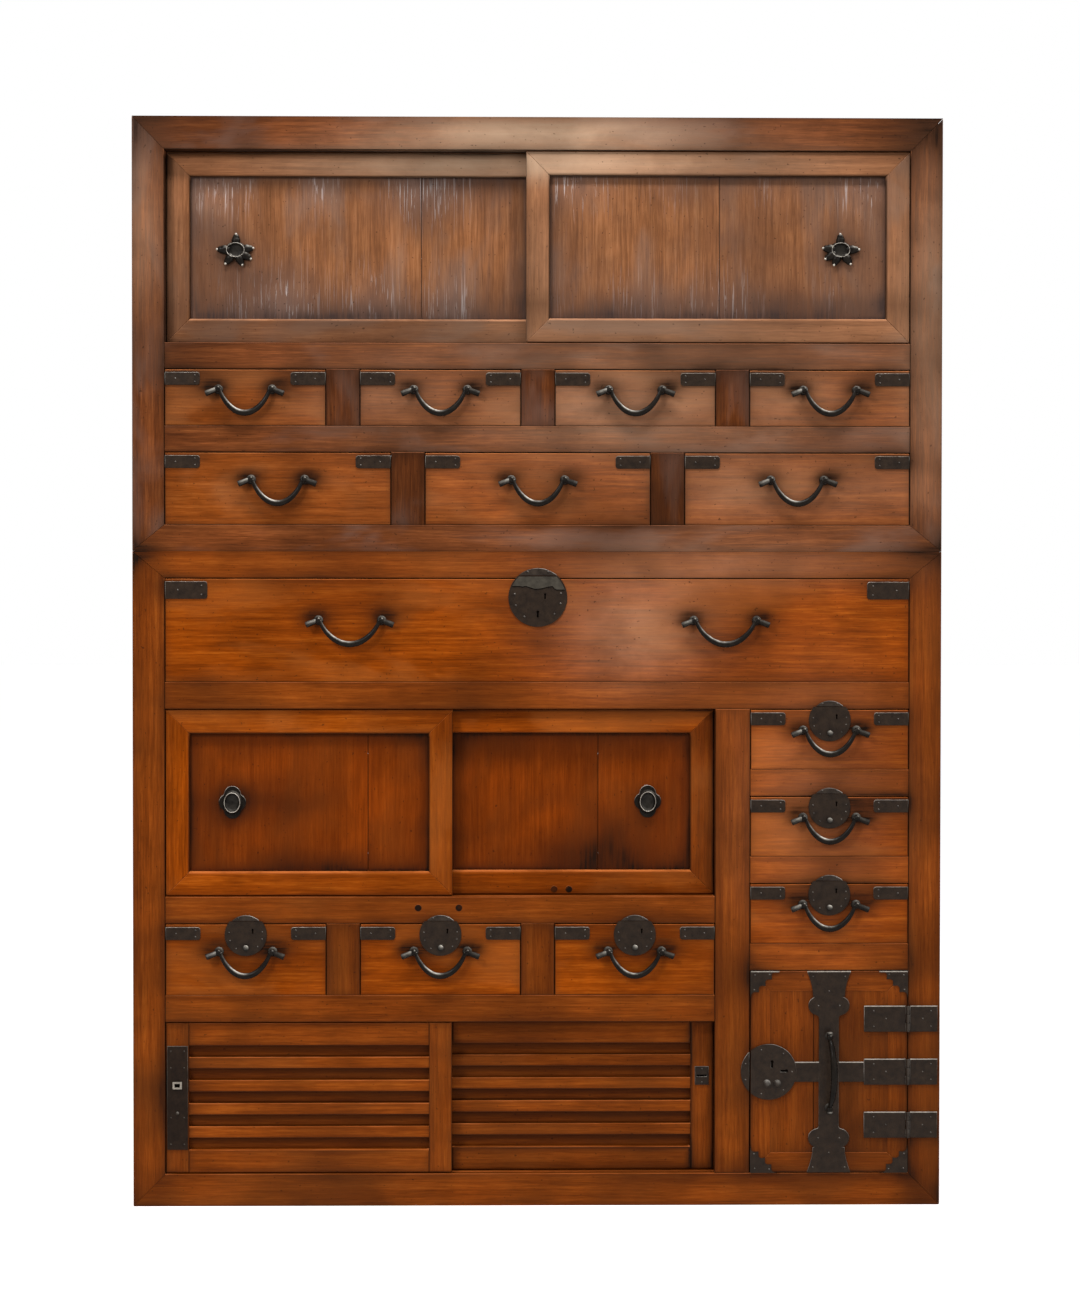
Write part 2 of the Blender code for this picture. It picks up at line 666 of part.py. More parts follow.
def partition(left_floors, right_floors):
    """The upright between the two lower columns: a front post and a board housed for the shelves."""
    post = box(
        (PARTITION_LEFT, PARTITION_RIGHT),
        (FRONT, STILE_BACK),
        (LOUVRE_FLOOR + JOINT_GAP, RIGHT_HEAD - JOINT_GAP),
        LOWER_WOOD,
    )
    faces = (PARTITION_MIDDLE - SIDE_BOARD / 2, PARTITION_MIDDLE + SIDE_BOARD / 2)
    board_top = WIDE_FLOOR - SHELF_BOARD - JOINT_GAP
    board = box(faces, (STILE_BACK - GLUE, BOARD_BACK), (LOUVRE_FLOOR + JOINT_GAP, board_top), LOWER_WOOD)
    step = box(
        (faces[0] - DADO, faces[1] + DADO),
        (STILE_BACK - DADO, BOARD_FRONT + JOINT_GAP),
        (RIGHT_HEAD - JOINT_GAP, board_top + DADO),
        LOWER_WOOD,
    )
    cuts = [step]
    for floors, face, inward in ((left_floors, faces[0], 1), (right_floors, faces[1], -1)):
        for floor, thickness in floors:
            cuts.append(
                box(
                    sorted((face - inward * JOINT_GAP, face + inward * DADO)),
                    (STILE_BACK, BACK),
                    (floor - thickness - JOINT_GAP, floor + JOINT_GAP),
                    LOWER_WOOD,
                )
            )
    centre = (PARTITION_RIGHT + SWING_LOCK_INSET, (SWING_FLOOR + SWING_HEAD) / 2)
    cut = math.degrees(math.acos((PARTITION_RIGHT - JOINT_GAP - centre[0]) / SWING_LOCK_RADIUS))
    outline = arc(centre, SWING_LOCK_RADIUS, cut, 360 - cut, 8)
    lock = plate(outline, (FRONT - IRON, FRONT + IRON_SEAT), IRON_FINISH)
    piece("partition", post, [board], cuts, more=[lock])


def corner_plate(edge, inward, top, length, height):
    """A nailed strap at a drawer front's upper corner, with its two inner corners rounded."""
    high = top - PLATE_DROP
    low = high - height
    reach = length - PLATE_CORNER
    tip = arc((reach, high - PLATE_CORNER), PLATE_CORNER, 90, 0, 1)
    tip += arc((reach, low + PLATE_CORNER), PLATE_CORNER, 0, -90, 1)
    outline = [(edge, high)] + [(edge + inward * x, z) for x, z in tip] + [(edge, low)]
    return plate(outline, (FRONT - IRON, FRONT + IRON_SEAT), IRON_FINISH)


def eye(place, along, seat):
    """A handle eye: a bored barrel on a post with a round washer. Returns the bodies and the bore."""
    place, along = Vector(place), Vector(along)
    wall = Vector((place.x, seat, place.z))
    half = along * (EYE_LENGTH / 2)
    bore_radius = BAIL_NECK_RADIUS + EYE_CLEARANCE
    barrel = rod(place - half, place + half, EYE_RADIUS, IRON_FINISH, sides=8)
    inside_washer = Vector((place.x, FRONT - IRON, place.z))
    post = rod(place + Vector((0.0, bore_radius, 0.0)), inside_washer, POST_RADIUS, IRON_FINISH, sides=6)
    washer = rod(Vector((place.x, FRONT - 2 * IRON, place.z)), wall, WASHER_RADIUS, IRON_FINISH, sides=9)
    bore = rod(place - along * EYE_LENGTH, place + along * EYE_LENGTH, bore_radius, IRON_FINISH, sides=8)
    return [barrel, post, washer], bore


def bail(name, x, z, spacing):
    """A hanging bail: a swelling bar that passes through both eyes and ends in thick, drooping stubs."""
    half = spacing / 2
    right = []
    for i in range(BOW_STEPS + 1):
        turn = math.pi / 2 * i / BOW_STEPS
        right.append(
            (
                (half - NECK_REACH) * math.sin(turn),
                -BAIL_DROP * math.cos(turn) ** 2,
                BAIL_NECK_RADIUS + (BAIL_MIDDLE_RADIUS - BAIL_NECK_RADIUS) * math.cos(turn),
            )
        )
    reach = half + NECK_REACH
    fall = math.tan(STUB_ANGLE)
    right.append((reach, 0.0, BAIL_NECK_RADIUS))
    right.append((reach + BAIL_NECK_RADIUS, -BAIL_NECK_RADIUS * fall, STUB_RADIUS))
    right.append((reach + STUB_LENGTH, -STUB_LENGTH * fall, STUB_RADIUS))
    path = [(-px, pz, r) for px, pz, r in reversed(right)] + right[1:]
    y = FRONT - HANDLE_STANDOFF
    body = bar([(x + px, y, z + pz) for px, pz, _ in path], [r for _, _, r in path], IRON_FINISH)
    piece(name, body, origin=(x, y, z))


def drawer_lock(x, level, top, lock):
    """A round lock plate on a drawer front, under its piece on the rail, with a knob near its lower edge."""
    drop, radius, knob_fall = lock
    centre = (x, level - drop)
    disc = plate(disc_below(centre, radius, top - JOINT_GAP), (FRONT - IRON, FRONT + IRON_SEAT), IRON_FINISH)
    knob_z = centre[1] - knob_fall
    tip = (x, FRONT - KNOB_LENGTH, knob_z)
    foot = (x, FRONT - IRON_SEAT, knob_z)
    return [disc, rod(tip, foot, KNOB_RADIUS, IRON_FINISH, end_radius=KNOB_FOOT_RADIUS, sides=8)]


def drawer(
    name,
    bay,
    floor,
    height,
    eye_drop,
    lock=None,
    plates=(SMALL_PLATE_LENGTH, SMALL_PLATE_HEIGHT),
    spacing=BAIL_SPACING,
    offsets=(0.0,),
):
    """A drawer with its front fittings, and the bails that swing on it."""
    x = (bay[0] + RUN_GAP, bay[1] - RUN_GAP)
    base = floor + JOINT_GAP
    top = floor + height - TOP_GAP
    middle = sum(x) / 2
    front = box(x, (FRONT, FRONT + DRAWER_FRONT), (base, top), DRAWER_WOOD)
    back = FRONT + DRAWER_LENGTH
    body = box(x, (FRONT + DRAWER_FRONT / 2, back), (base, top - DRAWER_SIDE_DROP), DRAWER_WOOD)
    hollow = box(
        (x[0] + DRAWER_WALL, x[1] - DRAWER_WALL),
        (FRONT + DRAWER_FRONT, back - DRAWER_WALL),
        (base + DRAWER_BOTTOM, top + DRAWER_SIDE_DROP),
        DRAWER_WOOD,
    )
    fittings = [corner_plate(x[0], 1, top, *plates), corner_plate(x[1], -1, top, *plates)]
    if lock:
        fittings += drawer_lock(middle, floor + height, top, lock)
    bores = []
    eye_z = floor + height - eye_drop
    for offset in offsets:
        for side in (-1, 1):
            place = (middle + offset + side * spacing / 2, FRONT - HANDLE_STANDOFF, eye_z)
            bodies, bore = eye(place, (1.0, 0.0, 0.0), FRONT + IRON_SEAT)
            fittings += bodies
            bores.append(bore)
    made = piece(name, front, [body], [hollow], more=fittings)
    boolean(made, bores, "DIFFERENCE")
    set_origin(made, (middle, FRONT, floor))
    for i, offset in enumerate(offsets):
        suffix = f"_{i + 1}" if len(offsets) > 1 else ""
        bail(f"{name}_bail{suffix}", middle + offset, eye_z, spacing)


def drawers():
    x = (INNER_LEFT, INNER_RIGHT)
    left = (INNER_LEFT, PARTITION_LEFT)
    right = (PARTITION_RIGHT, INNER_RIGHT)
    small_lock = (SMALL_LOCK_DROP, SMALL_LOCK_RADIUS, SMALL_KNOB_FALL)
    for i, bay in enumerate(drawer_bays(x, ROW_1_COUNT)):
        drawer(f"row_1_drawer_{i + 1}", bay, ROW_1_FLOOR, ROW_1_HEIGHT, ROW_1_EYE_DROP)
    for i, bay in enumerate(drawer_bays(x, ROW_2_COUNT)):
        drawer(f"row_2_drawer_{i + 1}", bay, ROW_2_FLOOR, ROW_2_HEIGHT, ROW_2_EYE_DROP)
    drawer(
        "wide_drawer",
        x,
        WIDE_FLOOR,
        WIDE_DRAWER_HEIGHT,
        WIDE_EYE_DROP,
        (WIDE_LOCK_DROP, WIDE_LOCK_RADIUS, WIDE_KNOB_FALL),
        (WIDE_PLATE_LENGTH, WIDE_PLATE_HEIGHT),
        WIDE_BAIL_SPACING,
        (-WIDE_BAIL_OFFSET, WIDE_BAIL_OFFSET),
    )
    for i, bay in enumerate(drawer_bays(left, SMALL_COUNT)):
        drawer(f"small_drawer_{i + 1}", bay, SMALL_FLOOR, SMALL_ROW_HEIGHT, SMALL_EYE_DROP, small_lock)
    for i, floor in enumerate(RIGHT_FLOORS):
        drawer(f"right_drawer_{i + 1}", right, floor, RIGHT_DRAWER_HEIGHT, RIGHT_EYE_DROP, small_lock)


def ellipse(centre, half_width, half_height, steps=14):
    turns = [2 * math.pi * i / steps for i in range(steps)]
    return [(centre[0] + half_width * math.cos(a), centre[1] + half_height * math.sin(a)) for a in turns]


def flower_pull(x, z, surface):
    """A round cup with ball-ended petals, standing on a door panel. Returns the bodies and the hollow."""
    front = surface - PULL_HEIGHT
    seat = surface + IRON_SEAT
    bodies = [rod((x, front, z), (x, seat, z), CUP_RADIUS, IRON_FINISH, sides=14)]
    for i in range(FLOWER_PETALS):
        turn = math.pi / 2 + 2 * math.pi * i / FLOWER_PETALS
        level = surface - PETAL_RADIUS + IRON_SEAT * 2
        root, tip = (
            (x + reach * math.cos(turn), level, z + reach * math.sin(turn))
            for reach in (CUP_RADIUS - CUP_WALL, FLOWER_RADIUS)
        )
        stalk = rod(root, tip, PETAL_ROOT_RADIUS, IRON_FINISH, end_radius=PETAL_NECK_RADIUS, sides=6)
        bodies.append(stalk)
        bodies.append(ball(tip, PETAL_RADIUS, IRON_FINISH, sides=6))
    hollow = rod((x, front - IRON, z), (x, surface - IRON, z), CUP_RADIUS - CUP_WALL, IRON_FINISH, sides=14)
    return bodies, hollow


def oval_pull(x, z, surface):
    """An upright oval cup on a four-lobed plate. Returns the bodies and the hollow."""
    front = surface - PULL_HEIGHT
    seat = surface + IRON_SEAT
    bodies = [plate(ellipse((x, z), OVAL_HALF_WIDTH, OVAL_HALF_HEIGHT), (front, seat), IRON_FINISH)]
    for dx, dz in ((-1, 0), (1, 0), (0, -1), (0, 1)):
        top = Vector((x + dx * OVAL_LOBE_SIDE, surface - IRON, z + dz * OVAL_LOBE_RISE))
        bodies.append(rod(top, (top.x, seat, top.z), OVAL_LOBE_RADIUS, IRON_FINISH, sides=12))
    inner = ellipse((x, z), OVAL_HALF_WIDTH - CUP_WALL, OVAL_HALF_HEIGHT - CUP_WALL)
    hollow = plate(inner, (front - IRON, surface - IRON), IRON_FINISH)
    return bodies, hollow


def door_blank(x, floor, head, track, finish):
    """A sliding door's outer block with the tongues that run in the grooves."""
    y = (track, track + DOOR_THICKNESS)
    middle = track + DOOR_THICKNESS / 2
    tongue = (middle - TONGUE / 2, middle + TONGUE / 2)
    z = (floor + DOOR_SHOULDER_GAP, head - DOOR_SHOULDER_GAP)
    block = box(x, y, z, finish)
    foot = box(x, tongue, (floor - SILL_GROOVE + JOINT_GAP, z[0] + FRAME_BEVEL), finish)
    crown = box(x, tongue, (z[1] - FRAME_BEVEL, head + CROWN_TONGUE), finish)
    return block, [foot, crown], y, z


def panel_door(name, x, floor, head, track, pull, pull_x, finish):
    """A framed sliding door with a sunk panel and an iron pull."""
    block, tongues, y, z = door_blank(x, floor, head, track, finish)
    inner_x = (x[0] + DOOR_FRAME, x[1] - DOOR_FRAME)
    inner_z = (z[0] + DOOR_FRAME, z[1] - DOOR_FRAME)
    surface = y[0] + PANEL_RECESS
    cuts = [
        box(inner_x, (y[0] - IRON, surface), inner_z, PANEL_WOOD),
        box(inner_x, (y[0] - FRAME_BEVEL, y[0] + FRAME_BEVEL), inner_z, finish, flare=2 * FRAME_BEVEL),
        box(inner_x, (y[1] - PANEL_BACK_RECESS, y[1] + IRON), inner_z, PANEL_WOOD),
    ]
    bodies, hollow = pull(pull_x, sum(z) / 2, surface)
    origin = (x[0], track, floor)
    door = piece(name, block, tongues, cuts, more=bodies)
    boolean(door, [hollow], "DIFFERENCE")
    set_origin(door, origin)


def louvred_door(name, x, floor, head, track, fittings, cuts):
    """A sliding door with flat slats across a thin back board."""
    block, tongues, y, z = door_blank(x, floor, head, track, LOWER_WOOD)
    inner_x = (x[0] + LOUVRE_FRAME, x[1] - LOUVRE_FRAME)
    inner_z = (z[0] + LOUVRE_FRAME, z[1] - LOUVRE_FRAME)
    pocket = box(inner_x, (y[0] - IRON, y[1] - LOUVRE_BACK), inner_z, PANEL_WOOD)
    space = (inner_z[1] - inner_z[0] - SLAT_COUNT * SLAT_HEIGHT) / (SLAT_COUNT + 1)
    slats = []
    for i in range(SLAT_COUNT):
        low = inner_z[0] + space + i * (space + SLAT_HEIGHT)
        slats.append(
            box(
                (inner_x[0] - DADO, inner_x[1] + DADO),
                (y[0] + SLAT_SET_BACK, y[0] + SLAT_SET_BACK + SLAT_THICKNESS),
                (low, low + SLAT_HEIGHT),
                LOWER_WOOD,
            )
        )
    door = piece(name, block, tongues, [pocket], more=slats + fittings)
    if cuts:
        boolean(door, cuts, "DIFFERENCE")
    set_origin(door, (x[0], track, floor))


def door_pair(x, frame):
    """The spans of a left and a right sliding door whose meeting stiles overlap."""
    width = (x[1] - x[0] - 2 * RUN_GAP + frame) / 2
    return (x[0] + RUN_GAP, x[0] + RUN_GAP + width), (x[1] - RUN_GAP - width, x[1] - RUN_GAP)


def sliding_doors():
    x = (INNER_LEFT, INNER_RIGHT)
    left, right = door_pair(x, DOOR_FRAME)
    spans = (UPPER_DOOR_FLOOR, UPPER_DOOR_HEAD)
    pulls = (x[0] + UPPER_PULL_INSET, x[1] - UPPER_PULL_INSET)
    panel_door("upper_left_door", left, *spans, BACK_TRACK, flower_pull, pulls[0], UPPER_WOOD)
    panel_door("upper_right_door", right, *spans, FRONT_TRACK, flower_pull, pulls[1], UPPER_WOOD)
    x = (INNER_LEFT, PARTITION_LEFT)
    left, right = door_pair(x, DOOR_FRAME)
    spans = (LOWER_DOOR_FLOOR, LOWER_DOOR_FLOOR + LOWER_DOOR_HEIGHT)
    pulls = (x[0] + LOWER_PULL_INSET, x[1] - LOWER_PULL_INSET)
    panel_door("lower_left_door", left, *spans, FRONT_TRACK, oval_pull, pulls[0], LOWER_WOOD)
    panel_door("lower_right_door", right, *spans, BACK_TRACK, oval_pull, pulls[1], LOWER_WOOD)
    left, right = door_pair(x, LOUVRE_FRAME)
    spans = (LOUVRE_FLOOR, LOUVRE_FLOOR + LOUVRE_HEIGHT)
    middle = sum(spans) / 2
    bodies, hollow = lock_strip(left[0] + LOUVRE_FRAME / 2, middle)
    louvred_door("louvre_left_door", left, *spans, FRONT_TRACK, bodies, [hollow])
    catch, slot = catch_plate(right[1] - LOUVRE_FRAME / 2, middle + CATCH_RISE)
    louvred_door("louvre_right_door", right, *spans, BACK_TRACK, [catch], [slot])


def lock_strip(x, z):
    """The iron strip on a louvred door's stile, with a raised rim round its hasp hole and a knob."""
    face = FRONT_TRACK - IRON
    strip = box(
        (x - LOCK_STRIP_WIDTH / 2, x + LOCK_STRIP_WIDTH / 2),
        (face, FRONT_TRACK + IRON_SEAT),
        (z - LOCK_STRIP_HEIGHT / 2, z + LOCK_STRIP_HEIGHT / 2),
        IRON_FINISH,
    )
    rim_x = (x - STAPLE_WIDTH / 2, x + STAPLE_WIDTH / 2)
    rim_z = (z + STAPLE_RISE - STAPLE_HEIGHT / 2, z + STAPLE_RISE + STAPLE_HEIGHT / 2)
    rim = box(rim_x, (face - STAPLE_PROUD, FRONT_TRACK), rim_z, IRON_FINISH)
    hole = box(
        (rim_x[0] + STAPLE_BAR, rim_x[1] - STAPLE_BAR),
        (face - 2 * STAPLE_PROUD, face),
        (rim_z[0] + STAPLE_BAR, rim_z[1] - STAPLE_BAR),
        IRON_FINISH,
    )
    knob_z = z - STRIP_KNOB_FALL
    tip = (x, face - STRIP_KNOB_LENGTH, knob_z)
    knob = rod(tip, (x, FRONT_TRACK, knob_z), STRIP_KNOB_RADIUS, IRON_FINISH, sides=8)
    return [strip, rim, knob], hole


def catch_plate(x, z):
    """A small plate on a louvred door's stile, with a slot across it. Returns the plate and the slot."""
    strip = box(
        (x - CATCH_WIDTH / 2, x + CATCH_WIDTH / 2),
        (BACK_TRACK - IRON, BACK_TRACK + IRON_SEAT),
        (z - CATCH_HEIGHT / 2, z + CATCH_HEIGHT / 2),
        IRON_FINISH,
    )
    half_slot = CATCH_WIDTH / 2 - STAPLE_BAR
    slot = box(
        (x - half_slot, x + half_slot),
        (BACK_TRACK - 2 * IRON, BACK_TRACK + IRON),
        (z - STAPLE_BAR / 2, z + STAPLE_BAR / 2),
        IRON_FINISH,
    )
    return strip, slot


def hinge_leaf(axis_x, z, sign, length, back, knuckles):
    """A hinge leaf beside its pin axis: a plate, tabs and knuckles at the given thirds of its height."""
    front = FRONT - IRON
    near = axis_x + sign * (KNUCKLE_RADIUS + PIN_CLEARANCE)
    base = z - HINGE_HEIGHT / 2
    third = HINGE_HEIGHT / 3
    span = sorted((near, axis_x + sign * length))
    leaf = box(span, (front, back), (base, base + HINGE_HEIGHT), IRON_FINISH)
    bodies = [leaf]
    for k in knuckles:
        low = base + k * third + JOINT_GAP
        high = base + (k + 1) * third - JOINT_GAP
        tab = sorted((axis_x, near + sign * PIN_CLEARANCE))
        bodies.append(box(tab, (front, FRONT - TAB_LIFT), (low, high), IRON_FINISH))
        axis_y = FRONT - HINGE_PROUD
        bodies.append(rod((axis_x, axis_y, low), (axis_x, axis_y, high), KNUCKLE_RADIUS, IRON_FINISH))
    return bodies


def hinge_bore(axis_x, z):
    low = (axis_x, FRONT - HINGE_PROUD, z - HINGE_HEIGHT)
    high = (axis_x, FRONT - HINGE_PROUD, z + HINGE_HEIGHT)
    return rod(low, high, PIN_RADIUS + PIN_CLEARANCE, IRON_FINISH, sides=10)


def case_hinge(name, axis_x, z):
    """The fixed leaf of a hinge, nailed to the case stile, with the pin that the door turns on."""
    bodies = hinge_leaf(axis_x, z, 1, CASE_LEAF, FRONT - JOINT_GAP, (1,))
    axis_y = FRONT - HINGE_PROUD
    half = HINGE_HEIGHT / 2
    pin = rod((axis_x, axis_y, z - half), (axis_x, axis_y, z + half), PIN_RADIUS, IRON_FINISH, sides=10)
    piece(name, bodies[0], bodies[1:] + [pin])


def strap_outline(x, floor, head):
    """The upright strap of the hinged door: flared ends, a round swelling by each, and a plain middle."""
    lobe_radius = LOBE_HEIGHT / 2
    lobe_z = head - FLARE_HEIGHT - lobe_radius
    half = [(STRAP_FLARE / 2, head), (STRAP_WAIST / 2, head - FLARE_HEIGHT)]
    half += arc((STRAP_LOBE - lobe_radius, lobe_z), lobe_radius, 90, -90, 6)
    half.append((STRAP_WIDTH / 2, lobe_z - lobe_radius))
    half += [(px, floor + head - pz) for px, pz in reversed(half)]
    return [(x + px, pz) for px, pz in half] + [(x - px, pz) for px, pz in reversed(half)]


def cusped_corner(x, z, sign_x, sign_z):
    """A triangular corner plate whose long side curves in to a cusp."""
    reach = CORNER_PLATE
    bow = arc((reach, reach), CORNER_BOW, -90, -180, 6)
    outline = [(0.0, 0.0), (reach, 0.0)] + bow + [(0.0, reach)]
    placed = [(x + sign_x * px, z + sign_z * pz) for px, pz in outline]
    return plate(placed, (FRONT - IRON, FRONT + IRON_SEAT), IRON_FINISH)


def hinged_door():
    x = (PARTITION_RIGHT + SWING_GAP, INNER_RIGHT - RUN_GAP)
    z = (SWING_FLOOR + RUN_GAP, SWING_HEAD - TOP_GAP)
    axis = (INNER_RIGHT - RUN_GAP / 2, FRONT - HINGE_PROUD, sum(z) / 2)
    middle_x = (PARTITION_RIGHT + INNER_RIGHT) / 2
    hinges = [axis[2] + offset for offset in (HINGE_OFFSET, 0.0, -HINGE_OFFSET)]
    y = (FRONT, FRONT + SWING_DOOR_THICKNESS)
    inner_x = (x[0] + SWING_DOOR_FRAME, x[1] - SWING_DOOR_FRAME)
    inner_z = (z[0] + SWING_DOOR_FRAME, z[1] - SWING_DOOR_FRAME)
    cuts = [
        box(inner_x, (y[0] - IRON, y[0] + SWING_PANEL_RECESS), inner_z, LOWER_WOOD),
        box(inner_x, (y[1] - SWING_BACK_RECESS, y[1] + IRON), inner_z, LOWER_WOOD),
    ]
    fittings = []
    for sign_x, edge_x in ((1, x[0]), (-1, x[1])):
        for sign_z, edge_z in ((1, z[0]), (-1, z[1])):
            fittings.append(cusped_corner(edge_x, edge_z, sign_x, sign_z))
    for hinge_z in (hinges[0], hinges[2]):
        fittings += hinge_leaf(axis[0], hinge_z, -1, DOOR_LEAF, FRONT + IRON_SEAT, (0, 2))
    door = piece("hinged_door", box(x, y, z, LOWER_WOOD), (), cuts, more=fittings)
    boolean(door, [hinge_bore(axis[0], hinges[0]), hinge_bore(axis[0], hinges[2])], "DIFFERENCE")
    set_origin(door, axis)
    for place, hinge_z in zip(("top", "middle", "bottom"), hinges):
        case_hinge(f"case_hinge_{place}", axis[0], hinge_z)
    door_ironwork(x, z, axis, middle_x)


def door_ironwork(x, z, axis, middle_x):
    """The cross straps, lock plate and middle hinge leaf of the hinged door, and its swinging pull."""
    back = FRONT - JOINT_GAP
    y = (FRONT - IRON, back)
    strap = plate(strap_outline(middle_x, *z), y, IRON_FINISH)
    half = STRAP_WIDTH / 2
    cross_x = (x[0] + SWING_LOCK_INSET, axis[0] - DOOR_LEAF / 2)
    cross = box(cross_x, y, (axis[2] - half, axis[2] + half), IRON_FINISH)
    centre = (PARTITION_RIGHT + SWING_LOCK_INSET, (SWING_FLOOR + SWING_HEAD) / 2)
    cut = math.degrees(math.acos((x[0] - centre[0]) / SWING_LOCK_RADIUS))
    lock = plate(arc(centre, SWING_LOCK_RADIUS, cut, -cut, 20), y, IRON_FINISH)
    boss = rod(
        (centre[0], FRONT - KNOB_LENGTH, centre[1] - half),
        (centre[0], back, centre[1] - half),
        SWING_BOSS_RADIUS,
        IRON_FINISH,
        sides=8,
    )
    bodies = [cross, lock, boss] + hinge_leaf(axis[0], axis[2], -1, DOOR_LEAF, back, (0, 2))
    bores = [hinge_bore(axis[0], axis[2])]
    for side in (-1, 1):
        place = (middle_x, FRONT - HANDLE_STANDOFF, axis[2] + side * PULL_SPACING / 2)
        parts, bore = eye(place, (0.0, 0.0, 1.0), back)
        bodies += parts
        bores.append(bore)
    iron = piece("door_ironwork", strap, bodies, bores)
    set_origin(iron, axis)
    door_pull(middle_x, axis[2])


def door_pull(x, z):
    """An upright bow that swings on two eyes and ends in small buttons."""
    half = PULL_SPACING / 2
    y = FRONT - HANDLE_STANDOFF
    upper = []
    for i in range(BOW_STEPS + 1):
        turn = math.pi / 2 * i / BOW_STEPS
        swell = math.cos(turn)
        upper.append(
            (
                (half - NECK_REACH) * math.sin(turn),
                PULL_BOW * swell,
                BAIL_NECK_RADIUS + (PULL_RADIUS - BAIL_NECK_RADIUS) * swell,
            )
        )
    reach = half + NECK_REACH
    upper.append((reach, 0.0, BAIL_NECK_RADIUS))
    upper.append((reach + BAIL_NECK_RADIUS, 0.0, STUB_RADIUS))
    upper.append((reach + BAIL_NECK_RADIUS + BUTTON_LENGTH, 0.0, STUB_RADIUS))
    path = [(-pz, bow, r) for pz, bow, r in reversed(upper)] + upper[1:]
    lean = (math.sin(PULL_LEAN), -math.cos(PULL_LEAN))
    places = [(x + bow * lean[0], y + bow * lean[1], z + pz) for pz, bow, _ in path]
    body = bar(places, [r for _, _, r in path], IRON_FINISH)
    piece("door_pull", body, origin=(x, y, z))


upper_case()
lower_case()
drawers()
sliding_doors()
hinged_door()
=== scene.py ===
import math
import random
from collections import namedtuple

import bmesh
import bpy
from mathutils import Matrix, Vector, noise

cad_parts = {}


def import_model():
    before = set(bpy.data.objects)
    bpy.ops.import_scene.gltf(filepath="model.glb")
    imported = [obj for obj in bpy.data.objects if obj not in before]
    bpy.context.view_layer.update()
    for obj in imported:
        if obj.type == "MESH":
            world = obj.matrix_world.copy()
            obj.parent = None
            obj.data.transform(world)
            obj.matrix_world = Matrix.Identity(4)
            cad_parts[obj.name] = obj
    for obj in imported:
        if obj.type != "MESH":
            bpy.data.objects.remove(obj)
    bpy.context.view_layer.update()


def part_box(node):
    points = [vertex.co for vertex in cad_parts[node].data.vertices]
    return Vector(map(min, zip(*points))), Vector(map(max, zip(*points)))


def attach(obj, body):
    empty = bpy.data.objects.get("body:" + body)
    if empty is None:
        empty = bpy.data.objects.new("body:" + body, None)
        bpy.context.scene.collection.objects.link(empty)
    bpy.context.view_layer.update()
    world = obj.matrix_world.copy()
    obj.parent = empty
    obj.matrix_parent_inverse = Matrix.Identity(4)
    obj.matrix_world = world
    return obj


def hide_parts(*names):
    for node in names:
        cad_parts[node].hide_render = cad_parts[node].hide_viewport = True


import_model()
CHANCE = random.Random(11).uniform

# Sizes shared with the solids, in metres
WIDTH = 1.212
DEPTH = 0.455
STILE = 0.048
STILE_DEPTH = 0.048
SIDE_BOARD = 0.022
SHELF_BOARD = 0.012
BACK_BOARD = 0.009
POST = 0.050
PARTITION = 0.052
RIGHT_WIDTH = 0.239
UPPER_RAIL = 0.039
TOP_RAIL = 0.049
LOWER_RAIL = 0.040
FOOT_RAIL = 0.048
JOINT = 0.0003
RUN = 0.0010
TOP_GAP = 0.0014
GUIDE = 0.018
DRAWER_LENGTH = 0.425
DRAWER_FRONT = 0.018
DRAWER_WALL = 0.010
DRAWER_BOTTOM = 0.007
DRAWER_DROP = 0.004
DOOR_RECESS = 0.004
DOOR_THICKNESS = 0.018
TRACK_SPACING = 0.021
DOOR_FRAME = 0.0355
LOUVRE_FRAME = 0.034
PANEL_RECESS = 0.009
SHOULDER = 0.0020
TONGUE = 0.008
HEAD_GROOVE = 0.010
SILL_GROOVE = 0.005
GROOVE_HALF = 0.0048
IRON = 0.0018
STANDOFF = 0.013
BAIL_DROP = 0.0345
PLATE_DROP = 0.004
PLATE_CORNER = 0.004
RAIL_LOCK = 0.0295

# Sizes of the looks alone
PLATE_LAP = 0.0034
PLATE_GAP = 0.0005
SEAM = 0.0003
BOARD_GAP = 0.0004
PITCH = 0.012

# Places shared with the solids
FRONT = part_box("lower_left_side")[0][1]
BACK = FRONT + DEPTH
STILE_BACK = FRONT + STILE_DEPTH
BOARD_BACK = BACK - BACK_BOARD - JOINT
LEFT = -WIDTH / 2
RIGHT = WIDTH / 2
INNER_LEFT = LEFT + STILE
INNER_RIGHT = RIGHT - STILE
POST_RIGHT = INNER_RIGHT - RIGHT_WIDTH
POST_LEFT = POST_RIGHT - PARTITION
WHOLE = (INNER_LEFT, INNER_RIGHT)
LEFT_BAY = (INNER_LEFT, POST_LEFT)
RIGHT_BAY = (POST_RIGHT, INNER_RIGHT)
FRONT_TRACK = FRONT + DOOR_RECESS
BACK_TRACK = FRONT_TRACK + TRACK_SPACING
LOWER_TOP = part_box("lower_left_side")[1][2]
UPPER_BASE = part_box("upper_left_side")[0][2]
UPPER_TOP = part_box("upper_left_side")[1][2]


def level_over(base, rail, height):
    """The floor and head of an opening whose rail stands on a base."""
    return base + rail, base + rail + height


